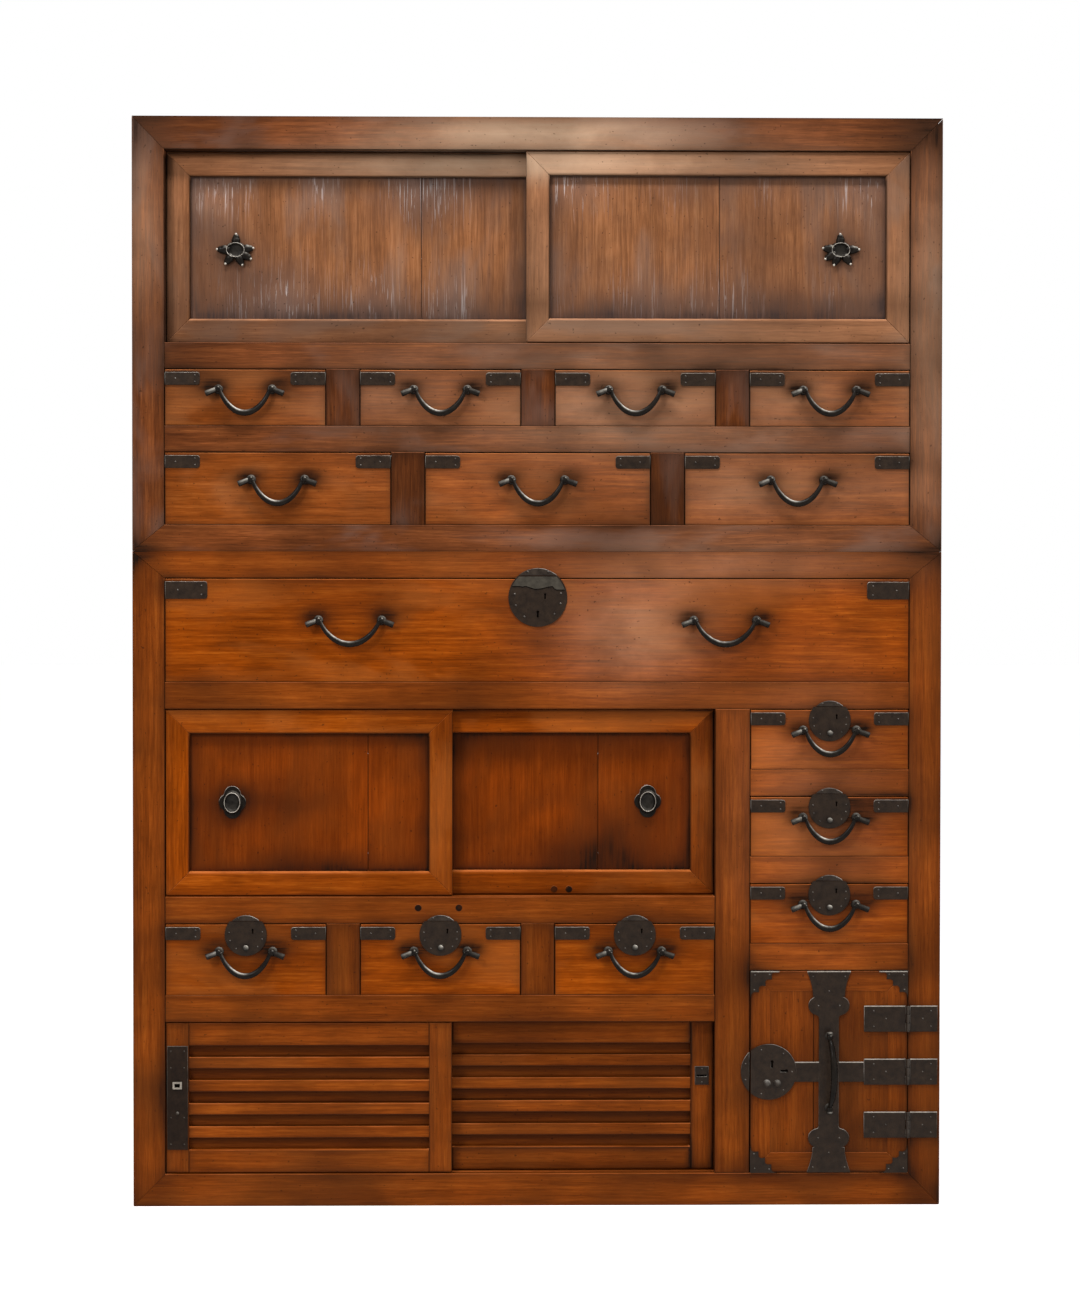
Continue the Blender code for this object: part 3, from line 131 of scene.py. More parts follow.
ROW_2 = level_over(UPPER_BASE, UPPER_RAIL, 0.109)
ROW_1 = level_over(ROW_2[1], UPPER_RAIL, 0.085)
UPPER_DOORS = (ROW_1[1] + UPPER_RAIL, UPPER_TOP - TOP_RAIL)
LOUVRES = level_over(0.0, FOOT_RAIL, 0.229)
SMALL_ROW = level_over(LOUVRES[1], LOWER_RAIL, 0.108)
LOWER_DOORS = level_over(SMALL_ROW[1], LOWER_RAIL, 0.282)
WIDE_ROW = (LOWER_DOORS[1] + LOWER_RAIL, LOWER_TOP - LOWER_RAIL)
RIGHT_ROW = 0.091
RIGHT_HEADS = [LOWER_DOORS[1] - i * (RIGHT_ROW + LOWER_RAIL) for i in range(3)]
RIGHT_ROWS = [(head - RIGHT_ROW, head) for head in RIGHT_HEADS]
SWING = (LOUVRES[0], RIGHT_ROWS[2][0] - LOWER_RAIL)


# Materials


def srgb(red, green, blue):
    """A colour given in 0 to 255 as the eye sees it, as the linear values that shaders take."""
    values = [channel / 255 for channel in (red, green, blue)]
    return [v / 12.92 if v <= 0.04045 else ((v + 0.055) / 1.055) ** 2.4 for v in values]


# Dark tones for stains and pits, which also stand for painted shade at rims, in recesses and on inward
# faces.
GRIME_AND_SHADE = srgb(24, 14, 8)
PANEL_GRIME_AND_SHADE = srgb(54, 42, 38)
# The tone of painted sheen, a pale reflection of light on the finish.
PAINTED_SHEEN_TONE = srgb(178, 150, 124)
FROST = srgb(150, 134, 130)
BARE_FIBRE = srgb(216, 208, 206)


class Nodes:
    """The shader nodes of a material or a world. Values are numbers, or sockets of other nodes."""

    def __init__(self, owner):
        owner.use_nodes = True
        self.tree = owner.node_tree

    def feed(self, target, inputs):
        for key, value in dict(inputs).items():
            if isinstance(value, bpy.types.NodeSocket):
                self.tree.links.new(value, target.inputs[key])
            else:
                target.inputs[key].default_value = value

    def node(self, kind, inputs=(), **settings):
        made = self.tree.nodes.new("ShaderNode" + kind)
        for name, value in settings.items():
            setattr(made, name, value)
        self.feed(made, inputs)
        return made.outputs

    def math(self, operation, *values, clamp=False):
        return self.node("Math", enumerate(values), operation=operation, use_clamp=clamp)[0]

    def mix(self, amount, first, second, kind="MIX"):
        """Mixes two colours. Plain lists get an alpha of 1."""
        colours = [c if isinstance(c, bpy.types.NodeSocket) else (*c, 1.0) for c in (first, second)]
        inputs = {0: amount, 6: colours[0], 7: colours[1]}
        return self.node("Mix", inputs, data_type="RGBA", blend_type=kind)[2]

    def noise(self, place, stretch, detail=3.0, rough=0.55, distortion=0.0):
        vector = self.node("Mapping", {"Vector": place, "Scale": stretch})[0]
        inputs = {"Vector": vector, "Scale": 1.0, "Detail": detail}
        return self.node("TexNoise", {**inputs, "Roughness": rough, "Distortion": distortion})[0]

    def span(self, value, low, high, start=0.0, end=1.0):
        """Maps a range of values onto another, with the ends held."""
        inputs = {0: value, 1: low, 2: high, 3: start, 4: end}
        return self.node("MapRange", inputs, interpolation_type="SMOOTHSTEP")[0]

    def ramp(self, value, *stops):
        made = self.node("ValToRGB", {0: value})[0]
        elements = made.node.color_ramp.elements
        while len(elements) < len(stops):
            elements.new(0.5)
        for element, (place, colour) in zip(elements, stops):
            element.position = place
            element.color = (*colour, 1.0)
        return made

    def tint(self, colour, value):
        """Multiplies a colour by a number."""
        grey = self.node("CombineColor", dict.fromkeys(range(3), value))[0]
        return self.mix(1.0, colour, grey, "MULTIPLY")

    def surface(self, colour, rough, specular, **inputs):
        shader = self.tree.nodes["Principled BSDF"]
        inputs.update({"Base Color": colour, "Roughness": rough, "Specular IOR Level": specular})
        self.feed(shader, inputs)

    def bump(self, strength, distance, height):
        return self.node("Bump", {"Strength": strength, "Distance": distance, "Height": height})[0]

    def place(self):
        return self.node("TexCoord")["Object"]

    def seen_ray(self):
        """1 for rays from the camera, from glossy faces and through clear ones."""
        rays = self.node("LightPath")
        seen = self.math("MAXIMUM", rays["Is Camera Ray"], rays["Is Glossy Ray"])
        return self.math("MAXIMUM", seen, rays["Is Transmission Ray"])


def new_material(name):
    made = bpy.data.materials.new(name)
    return made, Nodes(made)


def wood(name, tones, veil, veil_amount, grime_and_shade=GRIME_AND_SHADE, rough=0.42, relief=0.25, scour=0.0):
    """Aged wood. The mesh gives its grain space, and its paint: stains together with painted shade, painted
    sheen (on panels the pale scouring in its place), edges lighter where they face up, partly wear and
    partly painted highlight, and board tone.
    """
    made, nodes = new_material(name)
    dark, middle, light = (srgb(*tone) for tone in tones)
    grain = nodes.node("Attribute", attribute_name="grain")["Vector"]
    paint = nodes.node("Attribute", attribute_name="paint")
    stain_and_shade, sheen, edge = nodes.node("SeparateColor", {0: paint["Color"]}).values()
    figure = nodes.noise(grain, (2.2, 60, 60), 4.0, 0.6, 0.8)
    streak = nodes.noise(grain, (9, 260, 260), 4.0, 0.65, 0.4)
    pores = nodes.noise(grain, (45, 1100, 1100), 2.0)
    blotch = nodes.noise(grain, (10, 17, 17), 6.0, 0.62, 0.3)
    cloud = nodes.noise(grain, (4.0, 10, 10), 4.0, 0.55, 0.5)
    pits = nodes.noise(grain, (190, 260, 260), 1.0)
    lines = nodes.math("MULTIPLY_ADD", figure, 0.24, nodes.math("MULTIPLY", streak, 0.34))
    fine = nodes.math("MULTIPLY_ADD", pores, 0.24, lines)
    colour = nodes.ramp(fine, (0.28, dark), (0.42, middle), (0.56, light))
    colour = nodes.tint(colour, nodes.span(streak, 0.36, 0.62, 0.94, 1.05))
    colour = nodes.tint(colour, nodes.span(blotch, 0.3, 0.72, 0.76, 1.18))
    colour = nodes.mix(nodes.span(cloud, 0.47, 0.66, 0.0, veil_amount), colour, srgb(*veil))
    colour = nodes.tint(colour, nodes.math("ADD", paint["Alpha"], 0.5))
    if scour:
        scratch = nodes.noise(grain, (12, 370, 370), 3.0, 0.6, 1.0)
        colour = nodes.mix(nodes.math("MULTIPLY", sheen, 0.30), colour, FROST)
        bare = nodes.math("MULTIPLY", sheen, nodes.span(scratch, 0.592, 0.618, 0.0, scour), clamp=True)
        colour = nodes.mix(bare, colour, BARE_FIBRE)
    else:
        # Painted sheen: a pale reflection mixed over the wood's patches.
        painted_sheen = nodes.math("MULTIPLY", sheen, nodes.span(blotch, 0.3, 0.65, 0.65, 1.0), clamp=True)
        colour = nodes.mix(painted_sheen, colour, PAINTED_SHEEN_TONE)
    broken = nodes.span(nodes.math("ADD", blotch, streak), 0.7, 1.25, 0.72, 1.12)
    # Stains and painted shade darken the wood alike.
    colour = nodes.mix(nodes.math("MULTIPLY", stain_and_shade, broken, clamp=True), colour, grime_and_shade)
    colour = nodes.mix(nodes.span(pits, 0.72, 0.77, 0.0, 0.55), colour, GRIME_AND_SHADE)
    # Edges lighter where they face up: partly wear, partly painted highlight.
    highlight_and_wear = nodes.math("MULTIPLY", edge, nodes.span(blotch, 0.36, 0.60, 0.25, 0.95), clamp=True)
    colour = nodes.mix(highlight_and_wear, colour, [min(1.0, c * 1.5 + 0.03) for c in light])
    gloss = nodes.span(fine, 0.3, 0.7, rough - 0.06, rough + 0.12)
    height = nodes.math("MULTIPLY_ADD", pores, 0.5, streak)
    nodes.surface(colour, gloss, 0.03, Normal=nodes.bump(relief, 0.0006, height))
    return made


def iron(name, dark, light, rough, highlight_tone, shine, relief=0.35):
    """Blackened forged iron, with hammer marks, and lighter edges and faces that are partly wear and partly
    painted highlight.
    """
    made, nodes = new_material(name)
    place = nodes.place()
    paint = nodes.node("Attribute", attribute_name="paint")["Color"]
    edge = nodes.node("SeparateColor", {0: paint})[2]
    broad = nodes.noise(place, (85, 85, 85), 5.0, 0.65)
    fine = nodes.noise(place, (420, 420, 420), 3.0, 0.6)
    colour = nodes.ramp(broad, (0.32, srgb(*dark)), (0.70, srgb(*light)))
    # Painted highlights and wear, lighter where the paint marks them.
    highlight_and_wear = nodes.math("MULTIPLY", edge, nodes.span(broad, 0.35, 0.6, 0.35, 0.90), clamp=True)
    colour = nodes.mix(highlight_and_wear, colour, srgb(*highlight_tone))
    gloss = nodes.span(fine, 0.3, 0.7, rough - 0.08, rough + 0.12)
    height = nodes.math("MULTIPLY_ADD", fine, 0.3, broad)
    nodes.surface(colour, gloss, shine, Normal=nodes.bump(relief, 0.0012, height))
    return made


def hole_shadow_material():
    """A painted shadow: the matt dark that stands for the shade inside a hole."""
    made, nodes = new_material("painted_hole_shadow")
    spots = nodes.noise(nodes.place(), (200, 200, 200))
    nodes.surface(nodes.ramp(spots, (0.3, srgb(8, 6, 5)), (0.7, srgb(16, 12, 9))), 0.95, 0.0)
    return made


# Each wood: its dark, middle and light tones, its veil and how strong that is
UPPER_WOOD = wood("upper_case_wood", [(64, 29, 9), (100, 51, 21), (134, 76, 36)], (112, 86, 74), 0.50)
LOWER_WOOD = wood("lower_case_wood", [(94, 40, 6), (124, 58, 12), (150, 78, 22)], (112, 62, 24), 0.25)
DRAWER_WOOD = wood("drawer_wood", [(96, 38, 0), (130, 57, 3), (160, 82, 16)], (158, 90, 38), 0.32)
LOWER_PANEL_WOOD = wood("lower_panel_wood", [(98, 38, 2), (114, 47, 4), (130, 58, 8)], (98, 48, 14), 0.35)
UPPER_DRAWER_TONES = [(88, 39, 7), (126, 61, 15), (153, 85, 32)]
UPPER_DRAWER_WOOD = wood("upper_drawer_wood", UPPER_DRAWER_TONES, (146, 92, 52), 0.38)
UPPER_FRAME_TONES = [(92, 52, 27), (120, 74, 44), (144, 96, 62)]
UPPER_FRAME_WOOD = wood("upper_door_frame_wood", UPPER_FRAME_TONES, (114, 90, 76), 0.50)
PANEL_TONES = [(90, 55, 32), (122, 77, 46), (142, 97, 63)]
PANEL_WOOD = wood("weathered_panel_wood", PANEL_TONES, (100, 84, 76), 0.40, PANEL_GRIME_AND_SHADE, 0.5, 0.6, 1.0)
RAW_TONES = [(124, 88, 54), (154, 115, 75), (178, 140, 98)]
RAW_WOOD = wood("unfinished_wood", RAW_TONES, (134, 102, 72), 0.25, GRIME_AND_SHADE, 0.62, 0.4)

# Each iron: its dark and light tones, roughness, the tone of its painted highlights and wear, and shine
BLACK_IRON = iron("black_iron", (24, 16, 10), (42, 31, 22), 0.34, (206, 200, 190), 0.10)
BAR_IRON = iron("handled_iron", (14, 11, 9), (28, 23, 18), 0.24, (236, 228, 214), 0.05, 0.06)
STRIP_IRON = iron("sooty_iron", (22, 14, 9), (38, 27, 19), 0.40, (150, 144, 134), 0.06, 0.3)
GREY_IRON = iron("scraped_iron", (44, 40, 34), (66, 61, 53), 0.36, (206, 200, 190), 0.10, 0.2)
# A brighter iron for painted highlights on crests, tips and upper edges, partly bare metal from wear.
HIGHLIGHT_IRON = iron("highlight_and_wear_iron", (96, 88, 78), (150, 140, 126), 0.26, (214, 208, 198), 0.4, 0.10)
HOLE_SHADOW = hole_shadow_material()


def section(name):
    """The wood and the material slot of the upper or the lower case."""
    if name.startswith("upper"):
        return UPPER_WOOD, "upper_case_wood"
    return LOWER_WOOD, "lower_case_wood"


# Shapes


def around(middle, reach):
    return middle - reach, middle + reach


def inset(span, amount):
    return span[0] + amount, span[1] - amount


def mid(span):
    return sum(span) / 2


def rays(*angles):
    return [(math.cos(angle), math.sin(angle)) for angle in angles]


def circle(sides):
    return rays(*(2 * math.pi * i / sides for i in range(sides)))


def placed(points, x, z, wide=1.0, high=None):
    """Points of the chest's face moved to a place, and stretched or mirrored about it."""
    high = wide if high is None else high
    return [(x + wide * a, z + high * b) for a, b in points]


def rectangle(x, z):
    """The corners of a span in the chest's face, from the lower left one round by the right."""
    return [(x[0], z[0]), (x[1], z[0]), (x[1], z[1]), (x[0], z[1])]


def skinned(rings, closed=False):
    """A mesh over rings of points, or single points, with its ends filled, or joined if closed."""
    bm = bmesh.new()
    hoops = [[bm.verts.new(point) for point in points] for points in rings]
    for low, high in zip(hoops, hoops[1:] + hoops[:1] if closed else hoops[1:]):
        for i in range(max(len(low), len(high))):
            corners = [low[i % len(low)], low[(i + 1) % len(low)]]
            corners += [high[(i + 1) % len(high)], high[i % len(high)]]
            bm.faces.new(list(dict.fromkeys(corners)))
    for hoop in () if closed else (hoops[0], hoops[-1]):
        if len(hoop) > 1:
            bm.faces.new(hoop)
    bmesh.ops.recalc_face_normals(bm, faces=bm.faces)
    return bm


def prism(outline, span, axis, bevel=0.0, segments=3):
    """An outline in two of the axes pushed along the third, with bevelled edges."""
    rings = []
    for level in span:
        rings.append([(*place[:axis], level, *place[axis:]) for place in outline])
    bm = skinned(rings)
    if bevel:
        rounded(bm, sharp_edges(bm, 40), bevel, segments)
    return bm


def sharp_edges(bm, degrees):
    return [edge for edge in bm.edges if edge.calc_face_angle(0.0) > math.radians(degrees)]


def rounded(bm, edges, size, segments=2, profile=0.6):
    bmesh.ops.bevel(bm, geom=edges, offset=size, segments=segments, profile=profile, affect="EDGES")


def soften(bm, size, joints):
    """Rounds the sharp edges, apart from those in the plane of a joint, given by a place and its normal."""

    def in_joint(edge):
        ends = [vert.co for vert in edge.verts]
        return any(all(abs((end - Vector(place)).dot(way)) < 1e-5 for end in ends) for place, way in joints)

    rounded(bm, [edge for edge in sharp_edges(bm, 30) if not in_joint(edge)], size)
    return bm


def block(x, y, z, bevel=0.0012):
    """A board between pairs of X, Y and Z, with rounded edges."""
    return prism(rectangle(x, z), y, 1, bevel, 2)


def cut(bm, place, normal, slack=0.0, clear=False):
    """Cuts a mesh along a plane and gives what lies on the cut. clear takes away what is beyond it."""
    everything = bm.verts[:] + bm.edges[:] + bm.faces[:]
    plane = {"plane_co": place, "plane_no": normal}
    return bmesh.ops.bisect_plane(bm, geom=everything, dist=slack, clear_outer=clear, **plane)["geom_cut"]


def sliced(bm, axis, pitch, rims=(0.004, 0.010)):
    """Cuts a board across, so that paint on its points can change along it."""
    low = min(v.co[axis] for v in bm.verts)
    high = max(v.co[axis] for v in bm.verts)
    count = max(1, round((high - low) / pitch))
    places = [low + (high - low) * i / count for i in range(1, count)]
    places += [low + rim for rim in rims] + [high - rim for rim in rims]
    normal = Vector((0.0, 0.0, 0.0))
    normal[axis] = 1.0
    for place in places:
        if low < place < high:
            cut(bm, normal * place, normal, 1e-5)
    return bm


def gridded(bm, pitch=PITCH, axes=(0, 2)):
    """Cuts a board on the chest's face finely enough to carry painted patina."""
    for axis in axes:
        sliced(bm, axis, pitch)
    return bm


def face_board(x, y, z, bevel=0.0012, pitch=PITCH):
    return gridded(block(x, y, z, bevel), pitch)


def lathe(profile, place, toward=(0.0, -1.0, 0.0), sides=20, stretch=(1.0, 1.0), ring=False):
    """A profile of (radius, height) pairs turned about an axis, into a solid or an open ring. Height runs
    towards the given direction."""
    turn = Vector((0.0, 0.0, 1.0)).rotation_difference(Vector(toward)).to_matrix().to_4x4()
    matrix = Matrix.Translation(place) @ turn
    rings = []
    for radius, height in profile:
        steps = circle(sides if radius else 1)
        places = [(radius * c * stretch[0], radius * s * stretch[1], height) for c, s in steps]
        rings.append([matrix @ Vector(point) for point in places])
    return skinned(rings, ring)


def dome(place, radius, height, sides=10):
    """A nail head or a boss that stands towards the front."""
    curve = [(radius * c, height * s) for c, s in rays(0.0, 0.5, 1.0)]
    return lathe([(radius, -height * 0.4), *curve, (0.0, height)], place, sides=sides)


def plug(place):
    """The dark end of a peg that fills an old hole."""
    return lathe([(0.0052, -0.0010), (0.0052, 0.0002), (0.0046, 0.0005), (0.0, 0.0004)], place, sides=14)


def tube(points, radii, sides=12, flat=1.0, across=(0.0, 1.0, 0.0)):
    """A bar along points, each with its radius. flat narrows it along the across direction."""
    points = [Vector(p) for p in points]
    rings = []
    for i, (point, radius) in enumerate(zip(points, radii)):
        ahead = (points[min(i + 1, len(points) - 1)] - points[max(i - 1, 0)]).normalized()
        depth = Vector(across)
        depth = (depth - ahead * depth.dot(ahead)).normalized()
        side = ahead.cross(depth)
        rings.append([point + side * (radius * c) + depth * (radius * flat * s) for c, s in circle(sides)])
    return skinned(rings)


def arc(centre, radius, start, end, steps):
    """Points along an arc in the chest's face, both ends included. Angles are in degrees."""
    angles = [math.radians(start + (end - start) * i / steps) for i in range(steps + 1)]
    return placed(rays(*angles), *centre, radius)


def smooth(points, steps=3):
    """A curve through points, each a list of numbers, by Catmull and Rom's rule."""
    made = []
    padded = [points[0]] + list(points) + [points[-1]]
    for stretch in zip(padded, padded[1:], padded[2:], padded[3:]):
        for i in range(steps):
            t = i / steps
            place = []
            for p, q, r, s in zip(*stretch):
                bend = (2 * p - 5 * q + 4 * r - s) * t * t + (3 * q - p - 3 * r + s) * t**3
                place.append(0.5 * (2 * q + (r - p) * t + bend))
            made.append(place)
    made.append(list(points[-1]))
    return made


class Maker:
    """Gathers parts into one mesh, with each part's grain space and paint on its points."""

    ORDERS = ((0, 1, 2), (1, 0, 2), (2, 0, 1))

    def __init__(self):
        self.points = []
        self.faces = []
        self.grain = []
        self.paint = []
        self.slots = []

    def add(self, bm, axis=0, slot=0, painter=None, tone=0.0, worn=None):
        """Takes a part in. axis is its grain's and tone its brightness. A highlight function, if given,
        paints highlights, partly wear, on points that face a way; without one, edges that face up get that
        paint."""
        shift = [CHANCE(0.0, 40.0) for _ in range(3)]
        order = self.ORDERS[axis]
        base = len(self.points)
        bm.verts.index_update()
        bm.normal_update()
        for vert in bm.verts:
            self.points.append(vert.co[:])
            self.grain += [vert.co[k] + s for k, s in zip(order, shift)]
            facing = self.facing(vert)
            stain_and_shade, sheen = painter(vert.co, facing) if painter else (0.0, 0.0)
            # Painted highlight, partly wear: on points that face a way, or else on edges, brightest where
            # they face up.
            edge = worn(facing) if worn else max(0.0, facing.z) * self.at_edge(vert)
            self.paint += [stain_and_shade, sheen, edge, 0.5 + tone]
        for face in bm.faces:
            self.faces.append([base + vert.index for vert in face.verts])
            self.slots.append(slot)
        bm.free()

    @staticmethod
    def facing(vert):
        """Where a point faces. The rim of a flat front counts as part of it."""
        if any(face.normal.y < -0.999 for face in vert.link_faces):
            return Vector((0.0, -1.0, 0.0))
        return vert.normal

    @staticmethod
    def at_edge(vert):
        normals = [face.normal for face in vert.link_faces]
        return any(normals[0].dot(other) < 0.95 for other in normals[1:])

    def finish(self, name, materials, body, nodes=(), angle=35):
        """Makes the object, which moves with a body and stands for the given solids."""
        mesh = bpy.data.meshes.new(name)
        mesh.from_pydata(self.points, [], self.faces)
        mesh.attributes.new("grain", "FLOAT_VECTOR", "POINT").data.foreach_set("vector", self.grain)
        mesh.attributes.new("paint", "FLOAT_COLOR", "POINT").data.foreach_set("color", self.paint)
        for material in materials:
            mesh.materials.append(material)
        mesh.polygons.foreach_set("material_index", self.slots)
        mesh.shade_smooth()
        mesh.set_sharp_from_angle(angle=math.radians(angle))
        made = bpy.data.objects.new(name, mesh)
        bpy.context.scene.collection.objects.link(made)
        made.modifiers.new("normals", "WEIGHTED_NORMAL").keep_sharp = True
        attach(made, body)
        if nodes:
            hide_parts(*nodes)


# Layout of the drawers

Lock = namedtuple("Lock", "drop radius")
Bail = namedtuple("Bail", "x z spacing")
Drawer = namedtuple("Drawer", "name x z head middle lock plates bails")
SMALL_PLATE = (0.052, 0.019)
WIDE_PLATE = (0.063, 0.026)
SMALL_LOCK = Lock(0.017, 0.0315)
WIDE_LOCK = Lock(0.029, 0.044)


def bays(x, count):
    width = (x[1] - x[0] - (count - 1) * POST) / count
    lefts = [x[0] + i * (width + POST) for i in range(count)]
    return [(left, left + width) for left in lefts]


def post_spans(x, count):
    spans = bays(x, count)
    return [(left[1], right[0]) for left, right in zip(spans, spans[1:])]


def plan(name, bay, level, eye_drop, lock=None, plates=SMALL_PLATE, spacing=0.080, offsets=(0.0,)):
    middle = mid(bay)
    bails = [Bail(middle + offset, level[1] - eye_drop, spacing) for offset in offsets]
    z = (level[0] + JOINT, level[1] - TOP_GAP)
    return Drawer(name, inset(bay, RUN), z, level[1], middle, lock, plates, bails)


DRAWERS = [plan(f"row_1_drawer_{n}", bay, ROW_1, 0.031) for n, bay in enumerate(bays(WHOLE, 4), 1)]
DRAWERS += [plan(f"row_2_drawer_{n}", bay, ROW_2, 0.0415) for n, bay in enumerate(bays(WHOLE, 3), 1)]
DRAWERS.append(plan("wide_drawer", WHOLE, WIDE_ROW, 0.0634, WIDE_LOCK, WIDE_PLATE, 0.0945, (-0.281, 0.281)))
for number, bay in enumerate(bays(LEFT_BAY, 3), 1):
    DRAWERS.append(plan(f"small_drawer_{number}", bay, SMALL_ROW, 0.042, SMALL_LOCK))
for number, level in enumerate(RIGHT_ROWS, 1):
    DRAWERS.append(plan(f"right_drawer_{number}", RIGHT_BAY, level, 0.032, SMALL_LOCK))

SWING_X = (POST_RIGHT + 0.0018, INNER_RIGHT - RUN)
SWING_Z = (SWING[0] + RUN, SWING[1] - TOP_GAP)
SWING_MIDDLE = (mid(RIGHT_BAY), mid(SWING_Z))
SWING_LOCK = (POST_RIGHT + 0.029, mid(SWING))
SWING_LOCK_RADIUS = 0.042
HINGE_LEVELS = [SWING_MIDDLE[1] + offset for offset in (0.080, 0.0, -0.080)]
UPPER_PULLS = inset(WHOLE, 0.104)
LOWER_PULLS = inset(LEFT_BAY, 0.100)


# Patina and painted light. Each of the stains, and each patch of painted sheen, is its x, z, reach in x,
# reach in z and strength


def drawer_stains(drawer):
    """Stains round a drawer's handles, lock and corner plates, and darker patches under its bails."""
    made = []
    for x, z, spacing in drawer.bails:
        for side in (-1, 1):
            made.append((x + side * (spacing / 2 + 0.005), z + 0.002, 0.020, 0.013, 0.75))
            made.append((x + side * (spacing / 2 + 0.008), z + 0.006, 0.040, 0.022, 0.28))
            # Darker patches under the bail's arms and under its bottom.
            made.append((x + side * spacing * 0.28, z - 0.026, 0.014, 0.011, 0.35))
        made.append((x, z - 0.040, 0.026, 0.010, 0.45))
    if drawer.lock:
        reach = drawer.lock.radius * 1.12
        made.append((drawer.middle, drawer.head - drawer.lock.drop, reach, reach, 0.60))
    length, height = drawer.plates
    for edge, side in zip(drawer.x, (1, -1)):
        made.append((edge + side * length / 2, drawer.z[1] - height / 2, length * 0.64, height * 0.78, 0.38))
    return made


def corner_stains(x):
    """The stains at the corners of both sections, on one side of the chest."""
    return [
        (x, UPPER_TOP, 0.075, 0.070, 0.75),
        (x, UPPER_BASE, 0.060, 0.045, 0.30),
        (x, LOWER_TOP, 0.050, 0.030, 0.25),
        (x, 0.0, 0.055, 0.045, 0.40),
    ]


STAINS = [stain_and_shade for drawer in DRAWERS for stain_and_shade in drawer_stains(drawer)]
STAINS += [(mid(post), mid(ROW_2) - 0.010, 0.030, 0.060, 0.30) for post in post_spans(WHOLE, 3)]
STAINS += [(x, mid(UPPER_DOORS), 0.044, 0.040, 0.60) for x in UPPER_PULLS]
STAINS += [(x, mid(LOWER_DOORS), 0.030, 0.034, 0.65) for x in LOWER_PULLS]
STAINS += corner_stains(LEFT) + corner_stains(RIGHT)
STAINS += [(INNER_RIGHT, z, 0.075, 0.026, 0.55) for z in HINGE_LEVELS]
for rise in (0.030, 0.075, 0.115):
    STAINS += [(SWING_MIDDLE[0], z, 0.042, 0.030, 0.45) for z in around(SWING_MIDDLE[1], rise)]
STAINS += [(x, z, 0.036, 0.036, 0.32) for x in RIGHT_BAY for z in SWING]
STAINS += [
    (-0.46, UPPER_TOP - 0.024, 0.16, 0.050, 0.12),
    (-0.30, UPPER_DOORS[0] + 0.046, 0.32, 0.036, 0.40),
    (0.30, UPPER_DOORS[0] + 0.058, 0.34, 0.030, 0.44),
    (INNER_LEFT + 0.040, mid(ROW_1), 0.050, 0.050, 0.10),
    (-0.290, ROW_2[0] + 0.020, 0.090, 0.022, -0.28),
    (0.490, mid(ROW_2), 0.075, 0.045, -0.22),
    (INNER_LEFT + 0.110, mid(WIDE_ROW), 0.120, 0.080, 0.10),
    (-0.350, LOWER_DOORS[0] + 0.048, 0.080, 0.028, 0.42),
    (0.130, LOWER_DOORS[0] + 0.052, 0.130, 0.032, 0.42),
    (POST_LEFT - 0.020, mid(LOWER_DOORS), 0.030, 0.130, 0.12),
    (INNER_RIGHT - 0.020, mid(RIGHT_ROWS[0]), 0.045, 0.045, 0.25),
    (INNER_LEFT + 0.018, mid(LOUVRES), 0.030, 0.100, 0.55),
    (INNER_RIGHT - 0.050, SWING_MIDDLE[1], 0.050, 0.110, 0.24),
    (*SWING_LOCK, 0.050, 0.050, 0.75),
]
# Painted sheen: pale patches of reflected light on the finish.
PAINTED_SHEENS = [
    (0.16, UPPER_BASE + 0.34, 0.40, 0.26, 0.19),
    (LEFT, UPPER_TOP - 0.18, 0.06, 0.14, 0.22),
    (RIGHT, UPPER_TOP - 0.30, 0.06, 0.24, 0.26),
    (0.48, mid(ROW_2), 0.10, 0.05, 0.12),
    (0.0, UPPER_TOP - 0.024, 0.20, 0.024, 0.75),
    (-0.10, UPPER_DOORS[1] - 0.020, 0.26, 0.022, 0.80),
    (-0.236, mid(ROW_1), 0.10, 0.05, 0.14),
    (0.36, mid(ROW_1), 0.12, 0.05, 0.10),
    (0.26, UPPER_DOORS[1] - 0.018, 0.20, 0.022, 0.18),
    (0.10, mid(ROW_1) - 0.02, 0.13, 0.05, 0.18),
    (0.30, mid(ROW_2), 0.10, 0.05, 0.16),
    (0.145, mid(WIDE_ROW), 0.11, 0.08, 0.30),
    (0.30, LOWER_TOP - 0.02, 0.22, 0.030, 0.18),
    (0.42, mid(RIGHT_ROWS[1]) + 0.04, 0.11, 0.18, 0.13),
]


def spots_at(point, spots):
    total = 0.0
    for x, z, reach_x, reach_z, strength in spots:
        far = ((point.x - x) / reach_x) ** 2 + ((point.z - z) / reach_z) ** 2
        if far < 6.0:
            total += strength * math.exp(-far)
    return total


